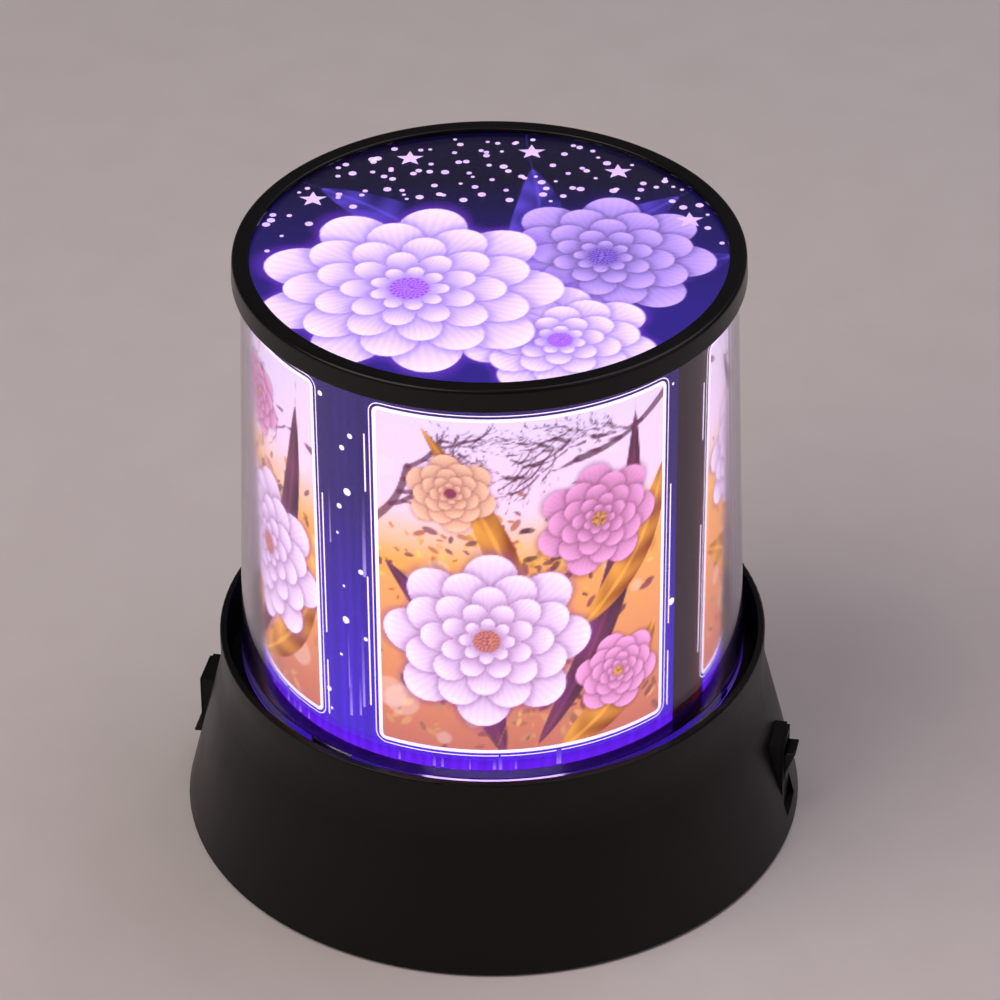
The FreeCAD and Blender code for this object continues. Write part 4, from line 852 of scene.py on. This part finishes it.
def band_stars(seed):
    """Round lights of 0.5 to 1.5 mm scattered over each band, and short lines beside the frames."""
    draw = np.random.default_rng(seed)
    half = math.radians(PICTURE_HALF_ANGLE) * FILM_RADIUS
    rings = []
    for middle in PICTURE_MIDDLES:
        band = middle + 180 / PICTURE_COUNT
        for height in np.linspace(42, 109, 13) + draw.uniform(-2.2, 2.2, 13):
            spot = draw.uniform(-4.6, 4.6)
            size = draw.choice(BAND_LIGHT_SIZES)
            if off_seam(band + math.degrees(spot / FILM_RADIUS), 1):
                rings.append(on_film(*round_light(spot, height, size), band))
        for side, distance, low, high in SIDE_LINES:
            start = side * (half + distance)
            end = start + SIDE_LINE_WIDTH
            corners = np.array([(start, low), (end, low), (end, high), (start, high)])
            rings.append(on_film(*corners.T, middle))
    return rings


add_piece("side_band_stars", *filled(band_stars(5)), clear_film, "drum", "printed_film")


def band_streaks(seed):
    """Falling streaks: each fades from the band's violet at its top to lilac at its foot.

    Short ones hang under each picture as well.
    """
    draw = np.random.default_rng(seed)
    patches, tints = [], []
    for middle in PICTURE_MIDDLES:
        band = middle + 180 / PICTURE_COUNT
        falls = [(band, draw.uniform(-5, 5), height, draw.uniform(8, 20), 0.7)
                 for height in draw.uniform(38, 90, 7)]
        falls += [(middle, across, 35.8, draw.uniform(2.2, 3.6), 0.55)
                  for across in draw.uniform(-24, 24, 10)]
        for azimuth, across, low, length, strength in falls:
            if off_seam(azimuth + math.degrees(across / FILM_RADIUS), 1):
                flat, rise = strip(across, low, low + length, draw.uniform(0.25, 0.6))
                patches.append(on_film(flat, rise, azimuth))
                colour = band_colours(azimuth + np.degrees(flat / FILM_RADIUS), rise)
                fade = strength * (1 - (rise - low) / length) ** 1.5
                lay_ink(colour, toned("#c4acff", "#c4acff", fade), fade)
                tints.append(colour.reshape(-1, 3))
    return patches, np.concatenate(tints)


streak_patches, streak_colours = band_streaks(8)
streaks = add_piece("side_band_streaks", *joined(streak_patches), backlit_film,
                    "drum", "printed_film")
keep_colours(streaks, streak_colours)


# Top print: a disc of the same film under the window, with two large blossoms across its front
# and a night sky of dots and stars behind them.

TOP_STEPS = 290
STAR_RADIUS = 2.6
STAR_NECK = 0.42
STAR_ROOM = 3.4
STAR_REACH = 38
STAR_ANGLES = (20, 52, 78, 112, 146)
DOT_ARCS = (22, 25.5, 29.5, 33.5, 37, 40.5)
DOT_SIZES = [0.38, 0.5, 0.62, 0.75]
DOTS_PER_MM = 0.95
DOT_LIMIT = 41.3
# The parts of the sky that the blossoms cover, as a middle and a radius.
COVERED_SKY = ((20, 0, 20), (-14, -10, 28))


def disc_grid(radius, steps):
    """Square grid pressed into a disc: x * sqrt(1 - y^2 / 2), y * sqrt(1 - x^2 / 2), so no pole."""
    side = np.linspace(-1, 1, steps)
    across, up = np.meshgrid(side, side)
    return (radius * across * np.sqrt(1 - up ** 2 / 2),
            radius * up * np.sqrt(1 - across ** 2 / 2))


MOON_BLOSSOM = ("#d08cff", "#6a34c4", "#fdeaff")
NIGHT_BLOSSOM = ("#a07cf0", "#2a1470", "#cdb0ff")
NIGHT_LEAF = ("#140c4a", "#5a48c4")


def paint_night(x, y):
    """Night sky with a violet glow low down, leaves, and two blossoms that fill the front."""
    picture = toned("#2a1c7c", "#0b0826", (y + 20) / 46)
    for foot, tip, width in (((0, 0), (34, 20), 6.0), ((4, -4), (8, 30), 5.0),
                             ((-8, 0), (-30, 24), 5.5), ((16, -6), (43, 0), 6.0)):
        paint_leaf(picture, x, y, foot, tip, width, NIGHT_LEAF)
    paint_blossom(picture, x, y, (20, 0), 20.0, 8, 0.5, NIGHT_BLOSSOM)
    paint_blossom(picture, x, y, (12, -27), 17.0, 7, 1.0, MOON_BLOSSOM)
    paint_blossom(picture, x, y, (-14, -10), 27.0, 9, 0.1, MOON_BLOSSOM)
    return picture


def flat_points(x, y, height):
    """Points of a level surface: x and y as they are, all at the one height."""
    return np.stack(np.broadcast_arrays(x, y, height), axis=-1)


disc_high = millimetres("top_print")[1]
disc_turn = math.radians(12)
disc_x, disc_y = disc_grid(disc_high[0] - 0.05, TOP_STEPS)
seen_x = disc_x * math.cos(disc_turn) + disc_y * math.sin(disc_turn)
seen_y = disc_y * math.cos(disc_turn) - disc_x * math.sin(disc_turn)
backlit_disc = lit_print("backlit_pet_disc", 1.4, 0.4)
add_print("top_picture", flat_points(disc_x, disc_y, disc_high[2] + 0.02),
          paint_night(seen_x, seen_y), backlit_disc)
disc_film = moulded("pet_disc", "#4a3d86", "#574a94", 0.4, grain=0.5, depth=0.005)
dress(disc_film, "top_print")


def top_lights(seed):
    """Dots in arcs across the back of the disc, and five-pointed stars between them."""
    draw = np.random.default_rng(seed)
    stars = [(STAR_REACH * math.cos(angle), STAR_REACH * math.sin(angle) - 1)
             for angle in np.radians(STAR_ANGLES)]
    tips = np.arange(10) * math.pi / 5 + math.pi / 2
    reach = STAR_RADIUS * np.where(np.arange(10) % 2 == 0, 1, STAR_NECK)
    rings = [np.array([x + reach * np.cos(tips), y + reach * np.sin(tips)]) for x, y in stars]
    for radius in DOT_ARCS:
        count = int(radius * DOTS_PER_MM)
        angles = np.radians(np.linspace(8, 172, count) + draw.uniform(-4.5, 4.5, count))
        reaches = np.minimum(radius + draw.uniform(-2.4, 2.4, count), DOT_LIMIT)
        for x, y in zip(reaches * np.cos(angles), reaches * np.sin(angles)):
            size = draw.choice(DOT_SIZES)
            by_star = any(math.hypot(x - star_x, y - star_y) < STAR_ROOM for star_x, star_y in stars)
            covered = any(math.hypot(x - middle_x, y - middle_y) < radius_covered
                          for middle_x, middle_y, radius_covered in COVERED_SKY)
            if not by_star and not covered:
                rings.append(round_light(x, y, size))
    cosine, sine = math.cos(disc_turn), math.sin(disc_turn)
    return [flat_points(x * cosine - y * sine, x * sine + y * cosine, disc_high[2] + 0.035)
            for x, y in rings]


pink_film = bare_film("lilac_tinted_film", "#dcb0ff", 1.0)
add_piece("top_sky_lights", *filled(top_lights(3)), pink_film, "drum", "printed_film")


# Top window: a flat disc of clear acrylic that the ring holds down on the print.

WINDOW_STEPS = 72
WINDOW_CLEARANCE = 0.06
window_low, window_high = millimetres("top_window")
window_x, window_y = disc_grid(window_high[0] - 0.02, WINDOW_STEPS)
window = add_piece("window_pane", flat_points(window_x, window_y, window_high[2]),
                   grid_faces(WINDOW_STEPS, WINDOW_STEPS), clear_acrylic, "drum", "clear_plastic")
pane_wall = window.modifiers.new("pane_wall", "SOLIDIFY")
pane_wall.thickness = (window_high[2] - window_low[2] - WINDOW_CLEARANCE) * MM
pane_wall.offset = -1
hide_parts("top_window")


# Top ring: a turned-over collar in black ABS, pressed over the sleeve's top. Its mould is
# polished finer than the base's, so it takes a thin violet reflection from the lit film.

ring_low, ring_high = millimetres("top_ring")
SKIRT_RADIUS = 43.99
RING_BORE = 42.2
RING_FLANGE = 1.0
ring_outline = rounded([
    (ring_high[0], ring_low[2], 0.3), (ring_high[0] - 0.2, ring_high[2], 0.75),
    (RING_BORE, ring_high[2], 0.45), (RING_BORE, ring_high[2] - RING_FLANGE, 0.15),
    (SKIRT_RADIUS, ring_high[2] - RING_FLANGE, 0.1), (SKIRT_RADIUS, ring_low[2], 0.15)], steps=7)
ring_azimuths = np.linspace(0, 360, DRUM_STEPS, endpoint=False)
ring_abs = moulded("black_abs_fine", "#050305", "#090609", 0.28, grain=0.22, depth=0.008,
                   Specular_IOR_Level=0.32)
ring_outline = np.repeat(ring_outline[:, None], DRUM_STEPS, axis=1)
collar = add_piece("drum_collar", *turned(ring_outline, ring_azimuths), ring_abs, "drum",
                   "black_plastic")
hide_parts("top_ring")


# Floor and lights: a plain pale floor and soft studio light, low enough that the lamp's own
# glow reads as light.

floor_points = flat_points(*np.meshgrid((-4000, 4000), (-4000, 4000)), 0.0)
floor_mesh = bpy.data.meshes.new("floor")
floor_mesh.from_pydata((floor_points.reshape(-1, 3) * MM).tolist(), [], [(0, 1, 3, 2)])
floor_mesh.materials.append(moulded("painted_floor", "#dfd8d5", "#e6e0dd", 0.6, grain=3.0, depth=0.02))
floor = bpy.data.objects.new("floor", floor_mesh)
bpy.context.scene.collection.objects.link(floor)


def softbox(name, azimuth, elevation, reach, size, power, shade):
    """A square softbox on a sphere round the lamp, aimed at its middle."""
    light = bpy.data.lights.new(name, "AREA")
    light.size = size
    light.energy = power
    light.color = linear(shade)[:3]
    lamp = bpy.data.objects.new(name, light)
    heading = Matrix.Rotation(math.radians(azimuth), 4, "Z")
    tilt = Matrix.Rotation(math.radians(90 - elevation), 4, "X")
    aim = Matrix.Translation((0, 0, 0.06))
    lamp.matrix_world = aim @ heading @ tilt @ Matrix.Translation((0, 0, reach))
    bpy.context.scene.collection.objects.link(lamp)


softbox("key_softbox", -48, 52, 0.9, 0.7, 4.0, "#fff2ee")
softbox("fill_softbox", 78, 40, 1.1, 0.9, 1.5, "#fde6f4")
softbox("back_softbox", 140, 62, 1.0, 0.6, 2.0, "#f4f0ff")

world = bpy.data.worlds.new("studio")
world.use_nodes = True
world.node_tree.nodes["Background"].inputs["Color"].default_value = linear("#d8d2d0")
world.node_tree.nodes["Background"].inputs["Strength"].default_value = 0.14
bpy.context.scene.world = world
bpy.context.scene.view_settings.view_transform = "Standard"


# Camera: a long lens, looking down from the front and a little from the right-hand side.

CAMERA_AZIMUTH = 12.0
CAMERA_REACH = 748.08
CAMERA_HEIGHT = 579.85
CAMERA_DIP = 34.56
CAMERA_SWING = -0.12
CAMERA_ROLL = -0.42
lens = bpy.data.cameras.new("camera")
lens.lens = 180
lens.sensor_width = 36
lens.clip_start = 0.05
camera = bpy.data.objects.new("camera", lens)
stand = on_drum(CAMERA_AZIMUTH, CAMERA_HEIGHT, CAMERA_REACH) * MM
camera.matrix_world = (
    Matrix.Translation(stand)
    @ Matrix.Rotation(math.radians(CAMERA_AZIMUTH + CAMERA_SWING), 4, "Z")
    @ Matrix.Rotation(math.radians(90 - CAMERA_DIP), 4, "X")
    @ Matrix.Rotation(math.radians(CAMERA_ROLL), 4, "Z"))
bpy.context.scene.collection.objects.link(camera)
bpy.context.scene.camera = camera
